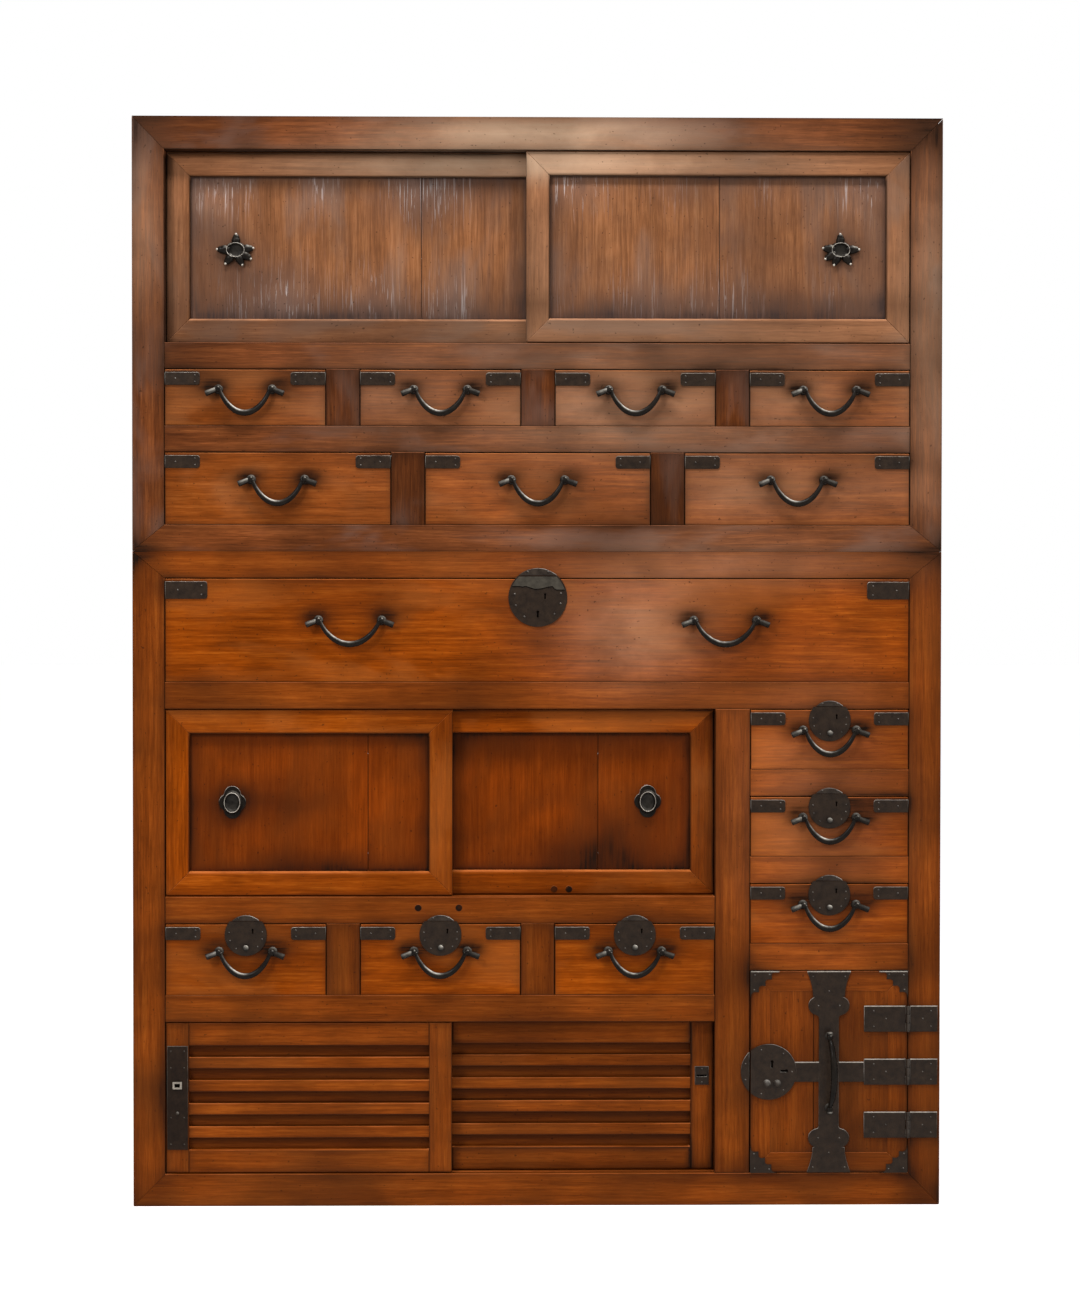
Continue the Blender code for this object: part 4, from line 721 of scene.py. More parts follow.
def patina(x, z, rim=0.40, reach=0.010, smudge=0.35, wear=None, sunk=False, depth=0.0):
    """Paints a board on the chest's face: stains round the iron and in smudges, painted shade at its rim,
    deeper in a recess and where it turns inwards, and painted sheen unless a wear function gives pale marks
    in its place. A sunk board, which stands behind its neighbours, is in their shade along its top and
    sides."""

    def paint(point, normal):
        beside = min(point.x - x[0], x[1] - point.x)
        inside = max(0.0, min(beside, point.z - z[0], z[1] - point.z))
        # Painted shade along the rim, where the board meets its neighbours, and deeper into a recess.
        stain_and_shade = rim * math.exp(-inside / reach) + depth * math.exp(-inside / 0.032)
        stain_and_shade += smudge * max(0.0, noise.noise(Vector((point.x * 5.0, 3.0, point.z * 9.0))) + 0.1)
        stain_and_shade += smudge * 0.6 * max(0.0, noise.noise(Vector((point.x * 15.0, 7.0, point.z * 24.0))))
        stain_and_shade += spots_at(point, STAINS)
        if sunk:
            stain_and_shade += 0.60 * math.exp(-max(0.0, min(beside, z[1] - point.z)) / 0.0035)
        # Painted shade on faces that turn inwards, lighter where they face up.
        turned = min(1.0, 1.5 * math.sqrt(max(0.0, 1.0 + normal.y)))
        outside = normal.y > 0.5 or abs(point.x) > RIGHT - 0.002
        shade = 0.22 if outside else 0.85 - 1.10 * max(0.0, normal.z)
        stain_and_shade += (shade - stain_and_shade) * turned
        # Painted sheen, unless a wear function gives the pale marks.
        pale = wear(point) if wear else spots_at(point, PAINTED_SHEENS)
        return max(0.0, min(stain_and_shade, 0.93)), min(pale, 1.0)

    return paint


# Turns the painted sheen off for a board.
def without_sheen(point):
    return 0.0


def dusty(amount):
    """Paints boards away from the chest's face with uneven, darker patches."""

    def paint(point, normal):
        return amount * (0.6 + noise.noise(point * 6.0)), 0.0

    return paint


# The two cases

PANELS = inset((LEFT, RIGHT), SIDE_BOARD + JOINT)
WALL = around((POST_LEFT + POST_RIGHT) / 2, SIDE_BOARD / 2 + JOINT)
END_STRIPS = ((PANELS[0], INNER_LEFT), (INNER_RIGHT, PANELS[1]))
WALL_STRIPS = ((POST_LEFT, WALL[0]), (WALL[1], POST_RIGHT))


def rail_shape(x, base, top, head_groove=False, sill_groove=False, mitre=0):
    """A front rail with the sliding doors' grooves, mitred upwards (1), downwards (-1) or cut square (0)."""
    tracks = [around(track + DOOR_THICKNESS / 2, GROOVE_HALF) for track in (FRONT_TRACK, BACK_TRACK)]
    profile = [(FRONT, base)]
    if head_groove:
        roof = base + HEAD_GROOVE
        for near, far in tracks:
            profile += [(near, base), (near, roof), (far, roof), (far, base)]
    profile += [(STILE_BACK, base), (STILE_BACK, top)]
    if sill_groove:
        floor = top - SILL_GROOVE
        for near, far in reversed(tracks):
            profile += [(far, top), (far, floor), (near, floor), (near, top)]
    profile.append((FRONT, top))
    bm = prism(profile, x, 0)
    joints = []
    if mitre:
        for side, corner in zip((-1, 1), WHOLE):
            place = (corner, 0.0, base if mitre > 0 else top)
            slope = Vector((side * (top - base), 0.0, -mitre * STILE)).normalized()
            joints.append((place, slope))
            made = cut(bm, place, slope, clear=True)
            bmesh.ops.holes_fill(bm, edges=[edge for edge in made if isinstance(edge, bmesh.types.BMEdge)])
        bmesh.ops.recalc_face_normals(bm, faces=bm.faces)
    return gridded(soften(bm, 0.0010, joints))


def deck(maker, x, floor, thickness, slot, count=3):
    """A shelf's boards behind its rail, laid side by side."""
    start = STILE_BACK + JOINT
    pitch = (BOARD_BACK - start) / count
    for i in range(count):
        y = (start + i * pitch, start + (i + 1) * pitch - BOARD_GAP)
        board = sliced(block(x, y, (floor - thickness, floor), 0.0006), 0, 0.05)
        maker.add(board, 0, slot, dusty(0.20), CHANCE(-0.08, 0.05))


def guide_strip(maker, x, floor):
    y = (STILE_BACK + JOINT, BOARD_BACK)
    maker.add(block(x, y, (floor, floor + GUIDE), 0.0008), 1, 1, dusty(0.3), CHANCE(-0.1, 0.1))


def row(x, count, level, guides):
    """What a row of drawers needs on its shelf: posts with guide strips behind, and strips at the ends."""

    def add(maker):
        z = (level[0], level[1] - JOINT)
        for post in post_spans(x, count):
            shape = face_board(post, (FRONT, STILE_BACK), z, 0.0010)
            maker.add(shape, 2, 0, patina(post, z, 0.45, 0.012, wear=without_sheen), CHANCE(-0.30, -0.12))
            guide_strip(maker, post, level[0])
        for strip in guides:
            guide_strip(maker, strip, level[0])

    return add


def case_side(name, outer, sign, base, top, bottom_rail, top_rail):
    """A case side: the front stile, mitred into the rails, and boards behind it."""
    maker = Maker()
    inner = outer - sign * STILE
    slack = 2 * JOINT
    outline = [
        (outer, base + slack),
        (inner, base + bottom_rail + slack),
        (inner, top - top_rail - slack),
        (outer, top - slack),
    ]
    joints = []
    for corner, rise in ((outline[1], bottom_rail), (outline[2], -top_rail)):
        way = Vector((sign * rise, 0.0, STILE)).normalized()
        joints.append(((corner[0], 0.0, corner[1]), way))
    stile = soften(prism(outline, (FRONT, STILE_BACK), 1), 0.0014, joints)
    tone = CHANCE(-0.16, -0.06) if base == 0.0 else CHANCE(-0.08, 0.02)
    painter = patina(sorted((outer, inner)), (base, top), 0.42, 0.010, 0.45)
    maker.add(gridded(stile, axes=(2, 0)), 2, 0, painter, tone)
    face = sorted((outer, outer - sign * SIDE_BOARD))
    y = STILE_BACK + JOINT
    for share in (0.42, 0.33, 0.25):
        end = y + (BACK - STILE_BACK) * share
        board = block(face, (y, min(end, BACK) - BOARD_GAP), (base, top), 0.0009)
        maker.add(sliced(board, 2, 0.05), 2, 0, dusty(0.35), CHANCE(-0.12, 0.06))
        y = end
    material, slot = section(name)
    maker.finish(name, [material, RAW_WOOD], "case", [name])


def case_back(name, base, top):
    """A back of level planks, pegged along their ends."""
    maker = Maker()
    count = round((top - base) / 0.165)
    pitch = (top - base) / count
    peg = [(0.0026, -0.001), (0.0026, 0.0005), (0.0018, 0.0010), (0.0, 0.0011)]
    for i in range(count):
        z = (base + i * pitch, base + (i + 1) * pitch - 0.0012)
        plank = sliced(block(PANELS, (BACK - BACK_BOARD, BACK), z, 0.0010), 0, 0.08)
        maker.add(plank, 0, 0, dusty(0.28), CHANCE(-0.22, -0.06))
        for end in (PANELS[0] + 0.014, 0.0, PANELS[1] - 0.014):
            for share in (0.22, 0.78):
                place = (end, BACK, z[0] + (z[1] - z[0]) * share)
                maker.add(lathe(peg, place, (0, 1, 0), 8), 1, 0, dusty(0.3), 0.12)
    maker.finish(name, [RAW_WOOD], "case", [name])


def shelf(name, base, floor, x=WHOLE, boards=PANELS, extra=None, lift=0.0, mitre=0, **grooves):
    """A front rail, the shelf boards behind it and whatever extra adds. A mitred one closes its case."""
    maker = Maker()
    ends = (LEFT, RIGHT) if mitre else inset(x, JOINT)
    rail = rail_shape(ends, base, floor, mitre=mitre, **grooves)
    painter = patina((LEFT, RIGHT) if mitre else x, (base, floor), 0.36, 0.009, 0.5)
    maker.add(rail, 0, 0, painter, lift + CHANCE(-0.10, 0.02))
    thickness = SIDE_BOARD if mitre else SHELF_BOARD
    deck(maker, boards, floor, thickness, 0 if name == "upper_top" else 1)
    if extra:
        extra(maker)
    material, slot = section("upper" if base >= UPPER_BASE else "lower")
    maker.finish(name, [material, RAW_WOOD], "case", [name])


def plugged(maker):
    for x in (-0.179, -0.118):
        maker.add(plug((x, FRONT, LOWER_DOORS[0] - 0.0165)), 1, 0, dusty(0.9), -0.35)


def partition():
    maker = Maker()
    post = (POST_LEFT, POST_RIGHT)
    z = (LOUVRES[0] + JOINT, LOWER_DOORS[1] - JOINT)
    maker.add(face_board(post, (FRONT, STILE_BACK), z), 2, 0, patina(post, z, 0.4), -0.08)
    z = (z[0], WIDE_ROW[0] - SHELF_BOARD - JOINT)
    for y in ((STILE_BACK + JOINT, 0.02), (0.02 + BOARD_GAP, BOARD_BACK)):
        maker.add(block(inset(WALL, JOINT), y, z, 0.0008), 2, 1, dusty(0.35), CHANCE(-0.1, 0.05))
    maker.finish("partition", [LOWER_WOOD, RAW_WOOD], "case", ["partition"])


def cases():
    for name, outer, sign in (("left", LEFT, -1), ("right", RIGHT, 1)):
        case_side(f"upper_{name}_side", outer, sign, UPPER_BASE, UPPER_TOP, UPPER_RAIL, TOP_RAIL)
        case_side(f"lower_{name}_side", outer, sign, 0.0, LOWER_TOP, FOOT_RAIL, LOWER_RAIL)
    case_back("upper_back", UPPER_BASE, UPPER_TOP)
    case_back("lower_back", 0.0, LOWER_TOP)
    shelf("upper_top", UPPER_DOORS[1], UPPER_TOP, head_groove=True, mitre=1)
    shelf("upper_door_shelf", ROW_1[1], UPPER_DOORS[0], lift=0.14, sill_groove=True)
    shelf("upper_drawer_shelf", ROW_2[1], ROW_1[0], extra=row(WHOLE, 4, ROW_1, END_STRIPS))
    shelf("upper_bottom", UPPER_BASE, ROW_2[0], extra=row(WHOLE, 3, ROW_2, END_STRIPS), lift=0.20, mitre=-1)
    shelf("lower_top", WIDE_ROW[1], LOWER_TOP, mitre=1)
    guided = row(WHOLE, 1, WIDE_ROW, END_STRIPS)
    shelf("wide_drawer_shelf", LOWER_DOORS[1], WIDE_ROW[0], extra=guided, head_groove=True)
    left = (LEFT_BAY, (PANELS[0], WALL[0]))
    shelf("sliding_door_shelf", SMALL_ROW[1], LOWER_DOORS[0], *left, plugged, 0.10, sill_groove=True)
    guided = row(LEFT_BAY, 3, SMALL_ROW, (END_STRIPS[0], WALL_STRIPS[0]))
    shelf("small_drawer_shelf", LOUVRES[1], SMALL_ROW[0], *left, guided, head_groove=True)
    right = (RIGHT_BAY, (WALL[1], PANELS[1]))
    for number, level in enumerate(RIGHT_ROWS, 1):
        guided = row(RIGHT_BAY, 1, level, (WALL_STRIPS[1], END_STRIPS[1]))
        shelf(f"right_shelf_{number}", level[0] - LOWER_RAIL, level[0], *right, guided, 0.50)
    shelf("lower_bottom", 0.0, LOUVRES[0], mitre=-1, sill_groove=True)
    partition()


# Iron fittings. The materials of an iron piece are its plates', then these

# The first of these slots is for the painted shadow in holes and under raised edges.
SHADOW_SLOT = 1
BAR = 2
PALE = 3
# Directions that painted highlights face.
GLINT = Vector((0.35, -0.60, 0.72)).normalized()
RIM_GLINT = Vector((0.50, -0.45, 0.74)).normalized()


def facing_highlight(amount, power=3, toward=GLINT):
    """Painted highlight, partly wear, that is strongest on points that face a way."""
    return lambda normal: amount * max(0.0, normal.dot(toward)) ** power


def no_highlight(normal):
    return 0.0


def arris(maker, x, z, surface=FRONT):
    """A painted highlight along the upper edge of a plate that stands on a surface, partly wear."""
    y = (surface - IRON - 0.0002, surface - 0.0004)
    maker.add(block(x, y, (z - 0.0013, z + 0.0002), 0.0003), slot=PALE, worn=facing_highlight(0.9))


def cut_plate(outline, surface=FRONT, holes=(), thickness=IRON, bevel=0.0006):
    """An iron plate on a surface that faces the front, with real holes and rounded edges."""
    curve = bpy.data.curves.new("plate", "CURVE")
    curve.dimensions = "2D"
    curve.fill_mode = "BOTH"
    curve.extrude = thickness / 2 - bevel
    curve.bevel_depth = bevel
    curve.bevel_resolution = 1
    curve.offset = -bevel
    for loop in (outline, *holes):
        spline = curve.splines.new("POLY")
        spline.points.add(len(loop) - 1)
        for point, (x, z) in zip(spline.points, loop):
            point.co = (x, z, 0.0, 1.0)
        spline.use_cyclic_u = True
    holder = bpy.data.objects.new("plate", curve)
    mesh = bpy.data.meshes.new_from_object(holder)
    bpy.data.objects.remove(holder)
    bm = bmesh.new()
    bm.from_mesh(mesh)
    bpy.data.meshes.remove(mesh)
    bmesh.ops.remove_doubles(bm, verts=bm.verts, dist=1e-6)
    turn = Matrix.Translation((0.0, surface - thickness / 2, 0.0)) @ Matrix.Rotation(math.pi / 2, 4, "X")
    bmesh.ops.transform(bm, matrix=turn, verts=bm.verts)
    bmesh.ops.recalc_face_normals(bm, faces=bm.faces)
    return bm


def keyhole(x, z, height, turned=False):
    """A keyhole's outline: a round head over a flared slot."""
    outline = arc((0.0, height * 0.28), height * 0.20, -50, 230, 10)
    outline += [(-height * 0.13, -height * 0.5), (height * 0.13, -height * 0.5)]
    if turned:
        outline = [(b, a) for a, b in outline]
    return placed(outline, x, z)


def disc_part(centre, radius, level, above):
    """The part of a disc's outline above or below a level line."""
    cut_angle = math.degrees(math.asin(max(-1.0, min(1.0, (level - centre[1]) / radius))))
    if above:
        return arc(centre, radius, cut_angle, 180 - cut_angle, 20)
    return arc(centre, radius, -180 - cut_angle, cut_angle, 40)


def nails(maker, places, surface=FRONT - IRON, radius=0.0014):
    for x, z in places:
        maker.add(dome((x, surface, z), radius, radius * 0.55, 8), worn=facing_highlight(0.4))


def pit(maker, x, z, size, surface=FRONT):
    """A painted shadow: a dark disc behind a keyhole, for the shade inside it."""
    maker.add(prism(arc((x, z), size, 0, 315, 7), (surface - 0.0003, surface), 1), slot=SHADOW_SLOT)


def corner_plate(maker, edge, inward, top, size):
    """A nailed strap at a drawer front's upper corner, with its two inner corners rounded."""
    length, height = size
    high = top - PLATE_DROP
    low = high - height
    reach = length - PLATE_CORNER
    tip = arc((reach, high - PLATE_CORNER), PLATE_CORNER, 90, 0, 4)
    tip += arc((reach, low + PLATE_CORNER), PLATE_CORNER, 0, -90, 4)
    maker.add(cut_plate([(edge, high)] + placed(tip, edge, 0.0, inward, 1.0) + [(edge, low)]))
    nails(maker, placed([(0.30, 0.50), (0.86, 0.24), (0.86, 0.76)], edge, low, inward * length, height))


def round_lock(maker, drawer):
    """A drawer's lock plate: keyholes, nails, and either a knob or a raised upper plate with a wavy edge."""
    wide = drawer.lock == WIDE_LOCK
    radius = drawer.lock.radius
    level = drawer.head + PLATE_LAP
    x = drawer.middle
    z = drawer.head - drawer.lock.drop
    key = (x + radius * 0.25, z + radius * 0.05) if wide else (x + radius * 0.33, z + radius * 0.18)
    holes = [keyhole(*key, radius * (0.20 if wide else 0.24))]
    if wide:
        lower_key = (x, z - radius * 0.56)
        holes.append(keyhole(*lower_key, radius * 0.24))
        pit(maker, *lower_key, radius * 0.16)
    maker.add(cut_plate(disc_part((x, z), radius, level, False), FRONT, holes), worn=no_highlight)
    pit(maker, *key, radius * 0.22)
    ring = rays(*(math.radians(angle) for angle in (200, 235, 315, 345, 10, 172)))
    nails(maker, placed(ring, x, z, radius * 0.80), radius=radius * 0.040)
    if not wide:
        knob = [(0.0030, -0.0004), (0.0030, 0.0016), (0.0046, 0.0026), (0.0046, 0.0036)]
        knob += [(0.0034, 0.0044), (0.0, 0.0046)]
        maker.add(lathe(knob, (x, FRONT - IRON, z - radius * 0.62), sides=16), slot=BAR, worn=facing_highlight(1.0, 5))
        return
    wave = [(-0.87, 0.37), (-0.61, 0.385), (-0.52, 0.355), (-0.42, 0.385), (-0.25, 0.33), (-0.09, 0.28)]
    wave += [(0.12, 0.30), (0.30, 0.35), (0.50, 0.385), (0.56, 0.30), (0.64, 0.26), (0.91, 0.26)]
    rim = arc((0.0, 0.0), 0.95, 16, math.degrees(math.asin((level - 0.0012 - z) / (radius * 0.95))), 6)
    left = [(-a, b) for a, b in reversed(rim)]
    cap = placed(wave + rim + left[:-1], x, z, radius)
    maker.add(cut_plate(cap, FRONT - IRON + 0.0003, (), 0.0010, 0.0003), slot=PALE, worn=no_highlight)
    # A painted shadow line under the raised plate's wavy edge.
    seam = [(a, FRONT - IRON - 0.0003, b) for a, b in placed(wave, x, z, radius)]
    maker.add(tube(seam, [0.0007] * len(seam), 6), slot=SHADOW_SLOT)


def rail_lock(drawer):
    """The upper piece of a round lock plate, nailed to the rail above its drawer."""
    maker = Maker()
    drop, radius = drawer.lock
    z = drawer.head - drop
    reach = RAIL_LOCK if drawer.lock == SMALL_LOCK else radius
    base = drawer.head + PLATE_LAP + PLATE_GAP
    outline = disc_part((drawer.middle, z), reach, base, True)
    maker.add(cut_plate(outline, bevel=0.0008), worn=facing_highlight(1.0, 5, RIM_GLINT))
    places = [(x, (base + z + reach) / 2) for x in around(drawer.middle, radius * 0.35)]
    nails(maker, places, radius=radius * 0.045)
    maker.finish(f"{drawer.name}_rail_plate", [BLACK_IRON], "case")


def eye(maker, place, along):
    """A handle's eye: a rounded lump on a post with a washer, round the bail's neck."""
    x, y, z = place
    barrel = [(0.0028, -0.0034), (0.0040, -0.0032), (0.0048, -0.0016), (0.0051, 0.0)]
    barrel += [(radius, -height) for radius, height in reversed(barrel[:-1])]
    # The eye's parts carry painted highlights.
    maker.add(lathe(barrel, place, along, 16), slot=BAR, worn=facing_highlight(0.6, 40))
    stem = [(0.0036, 0.0), (0.0032, -0.004), (0.0032, y - FRONT + 0.004)]
    maker.add(lathe(stem, place), slot=BAR, worn=facing_highlight(0.1))
    washer = [(0.0072, 0.0), (0.0072, 0.0012), (0.0062, 0.0024), (0.0040, 0.0030), (0.0, 0.0031)]
    maker.add(lathe(washer, (x, FRONT, z), sides=18), slot=BAR, worn=facing_highlight(0.2))


def bow(reach, rise, neck, swell, power):
    """The line of a bow, as places along it, rises and radii. It is thickest in its middle."""
    half = []
    for i in range(9):
        turn = math.pi / 2 * i / 8
        lift = math.cos(turn)
        half.append((reach * math.sin(turn), rise * lift**1.5, neck + swell * lift**power))
    return smooth([(-a, b, r) for a, b, r in reversed(half)] + half[1:])


def bail(name, x, z, spacing):
    """A hanging bail: a swelling bar, thin where it enters the eyes, with thick drooping stubs outside."""
    maker = Maker()
    half = spacing / 2
    y = FRONT - STANDOFF
    line = bow(half - 0.0030, -BAIL_DROP - 0.001, 0.0025, 0.0021, 1.4)
    bar = tube([(x + a, y, z + b) for a, b, _ in line], [r for _, _, r in line], 20, 0.82)
    # A painted highlight runs along the side of the bar that faces up and to the front.
    maker.add(bar, worn=facing_highlight(1.0, 16))
    fall = math.tan(math.radians(21))
    stations = [(-0.003, 0.0028), (0.0030, 0.0032), (0.0040, 0.0040), (0.0172, 0.0046), (0.0182, 0.0040)]
    for side in (-1, 1):
        points = [(x + side * (half + a), y, z - max(a, 0.0) * fall) for a, _ in stations]
        # Painted highlights on the stubs, the left one brighter.
        maker.add(tube(points, [r for _, r in stations], 8), worn=facing_highlight(0.32 - side * 0.22, 5))
    maker.finish(f"{name}_bar", [BAR_IRON], name, nodes=[name], angle=30)


# Drawers. How bright each row's fronts are, from and to

FRONT_TONES = {
    "row_1": (-0.26, -0.18),
    "row_2": (-0.14, -0.06),
    "wide": (-0.06, -0.05),
    "small": (0.08, 0.14),
    "right": (0.08, 0.16),
}


def drawer_wood(drawer):
    """A drawer's front, sides, back and bottom boards."""
    name, x, z = drawer[:3]
    inner = FRONT + DRAWER_FRONT
    back = FRONT + DRAWER_LENGTH
    rise = (z[0], z[1] - DRAWER_DROP)
    maker = Maker()
    front = face_board(x, (FRONT, inner), z, 0.0014, 0.009)
    tones = next(tones for start, tones in FRONT_TONES.items() if name.startswith(start))
    maker.add(front, 0, 0, patina(x, z, 0.34, 0.005, 0.45), CHANCE(*tones))
    for wall in ((x[0], x[0] + DRAWER_WALL), (x[1] - DRAWER_WALL, x[1])):
        maker.add(block(wall, (inner, back), rise, 0.0008), 1, 1, dusty(0.3), CHANCE(-0.06, 0.06))
    across = inset(x, DRAWER_WALL)
    maker.add(block(across, (back - DRAWER_WALL, back), rise, 0.0008), 0, 1, dusty(0.3), 0.0)
    count = max(1, round((across[1] - across[0]) / 0.19))
    pitch = (across[1] - across[0]) / count
    for i in range(count):
        span = (across[0] + i * pitch, across[0] + (i + 1) * pitch - SEAM)
        board = block(span, (inner, back - DRAWER_WALL), (z[0], z[0] + DRAWER_BOTTOM), 0.0005)
        maker.add(board, 1, 1, dusty(0.12), CHANCE(-0.05, 0.05))
    front_wood = UPPER_DRAWER_WOOD if name.startswith("row") else DRAWER_WOOD
    maker.finish(f"{name}_wood", [front_wood, RAW_WOOD], name, [name])


def drawer_iron(drawer):
    """A drawer's corner plates, lock plate and eyes, and its bails, which swing."""
    maker = Maker()
    for edge, inward in zip(drawer.x, (1, -1)):
        corner_plate(maker, edge, inward, drawer.z[1], drawer.plates)
    if drawer.lock:
        round_lock(maker, drawer)
        rail_lock(drawer)
    for x, z, spacing in drawer.bails:
        for end in around(x, spacing / 2):
            eye(maker, (end, FRONT - STANDOFF, z), (1.0, 0.0, 0.0))
    maker.finish(f"{drawer.name}_iron", [BLACK_IRON, HOLE_SHADOW, BAR_IRON, GREY_IRON], drawer.name)
    for number, place in enumerate(drawer.bails, 1):
        suffix = f"_{number}" if len(drawer.bails) > 1 else ""
        bail(f"{drawer.name}_bail{suffix}", *place)


# Sliding doors. The second material of their pulls is for the painted highlights on crests and tips

CREST_HIGHLIGHT = 1


def door_pair(x, overlap):
    """The spans of a left and a right sliding door whose meeting stiles overlap."""
    low, high = inset(x, RUN)
    width = (high - low + overlap) / 2
    return (low, low + width), (high - width, high)


def mitred_bar(x, z, side, width, y, bevel):
    """One side of a mitred frame, with a bevelled inner edge: 0 bottom, 1 right, 2 top, 3 left."""
    outer = rectangle(x, z)
    inner = rectangle(inset(x, width), inset(z, width))
    after = (side + 1) % 4
    bm = prism([outer[side], outer[after], inner[after], inner[side]], y, 1)
    corners = [Vector((a, y[0], b)) for a, b in (inner[side], inner[after])]
    near = [e for e in bm.edges if all(min((v.co - c).length for c in corners) < 1e-5 for v in e.verts)]
    rounded(bm, near, bevel, 2, 0.5)
    rounded(bm, sharp_edges(bm, 60), 0.0006, 1, 0.0)
    along = bar_axis(side)
    return sliced(sliced(bm, along, 0.014), 2 - along, 0.5, (0.004, width * 0.5, width - 0.005))


def bar_axis(side):
    """The axis along one side of a frame."""
    return side % 2 * 2


def two_boards(x, seam):
    """The spans of two boards that meet at a seam."""
    return (x[0], seam - SEAM), (seam + SEAM, x[1])


def scoured(z, amount):
    """Pale scouring near a panel's top and bottom, uneven along it."""

    def wear(point):
        total = 0.0
        for far, reach, chance in ((z[1] - point.z, 0.045, 5.0), (point.z - z[0], 0.055, 9.0)):
            patch = 0.40 + 2.0 * noise.noise(Vector((point.x * 9.0, chance, 0.0)))
            total += max(0.0, patch) * math.exp(-((far / reach) ** 2))
        return min(1.0, amount * total)

    return wear


def petal(maker, x, z, surface, angle, length):
    """A leaf of the flower pull: a narrow stalk, a swelling and a rounded tip with a boss that carries a
    painted highlight.
    """
    turn = math.radians(angle)
    stations = [(0.009, 0.0044), (length * 0.60, 0.0064), (length * 0.78, 0.0066), (length * 0.92, 0.0054)]
    stations += [(length, 0.0050), (length + 0.0030, 0.0036), (length + 0.0045, 0.0010)]
    line = smooth(stations)
    points = [(x + r * math.cos(turn), surface - 0.0030, z + r * math.sin(turn)) for r, _ in line]
    maker.add(tube(points, [radius for _, radius in line], 14, 0.80), worn=facing_highlight(0.5, 20))
    tip = Vector(points[-1]) * 0.8 + Vector(points[-4]) * 0.2
    maker.add(dome((tip.x, surface - 0.0052, tip.z), 0.0019, 0.0013, 8), slot=CREST_HIGHLIGHT, worn=facing_highlight(0.9))


def cup(maker, x, z, surface, radius, stretch):
    """A hollow cup with a thick rounded rim, with a painted highlight, partly wear, along its crest."""
    wall = [(1.12, 0.0), (1.08, 0.0020), (1.0, 0.0050), (0.96, 0.0068), (0.90, 0.0074)]
    wall += [(0.84, 0.0068), (0.80, 0.0050), (0.74, 0.0016), (0.60, 0.0008), (0.0, 0.0006)]
    crest = [(0.94, 0.0066), (0.94, 0.0076), (0.905, 0.0082), (0.87, 0.0077), (0.86, 0.0066)]
    wall, crest = ([(radius * share, height) for share, height in profile] for profile in (wall, crest))
    shape = {"place": (x, surface, z), "sides": 32, "stretch": stretch}
    maker.add(lathe(wall, **shape), worn=facing_highlight(0.1))
    maker.add(lathe(crest, ring=True, **shape), slot=CREST_HIGHLIGHT, worn=facing_highlight(1.0, 1))


def flower_pull(maker, x, z, surface):
    """Six leaves round a cup, mirrored on the right half of the chest."""
    z -= 0.003
    leaves = ((88, 0.0195), (6, 0.0225), (-30, 0.0225), (-66, 0.0205), (-126, 0.0215), (178, 0.0235))
    for angle, length in leaves:
        petal(maker, x, z, surface, 180 - angle if x > 0 else angle, length)
    cup(maker, x, z, surface, 0.0145, (1.02, 0.80))


def oval_pull(maker, x, z, surface):
    """A cup on a four-lobed plate."""
    lobes = ((-0.0078, 0.0), (0.0078, 0.0), (0.0, -0.0120), (0.0, 0.0120))
    maker.add(cut_plate(lobed_outline(x, z, lobes, 0.0125), surface))
    cup(maker, x, z, surface - IRON + 0.0002, 0.0140, (0.93, 1.16))


def lobed_outline(x, z, lobes, radius, steps=64):
    """The outer line of overlapping round lobes, found along rays from the middle."""
    outline = []
    for ray in circle(steps):
        reach = radius * 0.8
        for a, b in lobes:
            along = a * ray[0] + b * ray[1]
            aside = a * a + b * b - along * along
            if aside < radius * radius:
                reach = max(reach, along + math.sqrt(radius * radius - aside))
        outline.append((x + reach * ray[0], z + reach * ray[1]))
    return outline


def tongues(maker, x, level, track):
    """The strips of a sliding door that run in the grooves."""
    y = around(track + DOOR_THICKNESS / 2, TONGUE / 2)
    feet = (level[0] - SILL_GROOVE + JOINT, level[0] + SHOULDER + 0.0004)
    crown = (level[1] - SHOULDER - 0.0004, level[1] + 0.005)
    for z in (feet, crown):
        maker.add(block(x, y, z, 0.0004), 0, 0, dusty(0.5), -0.1)


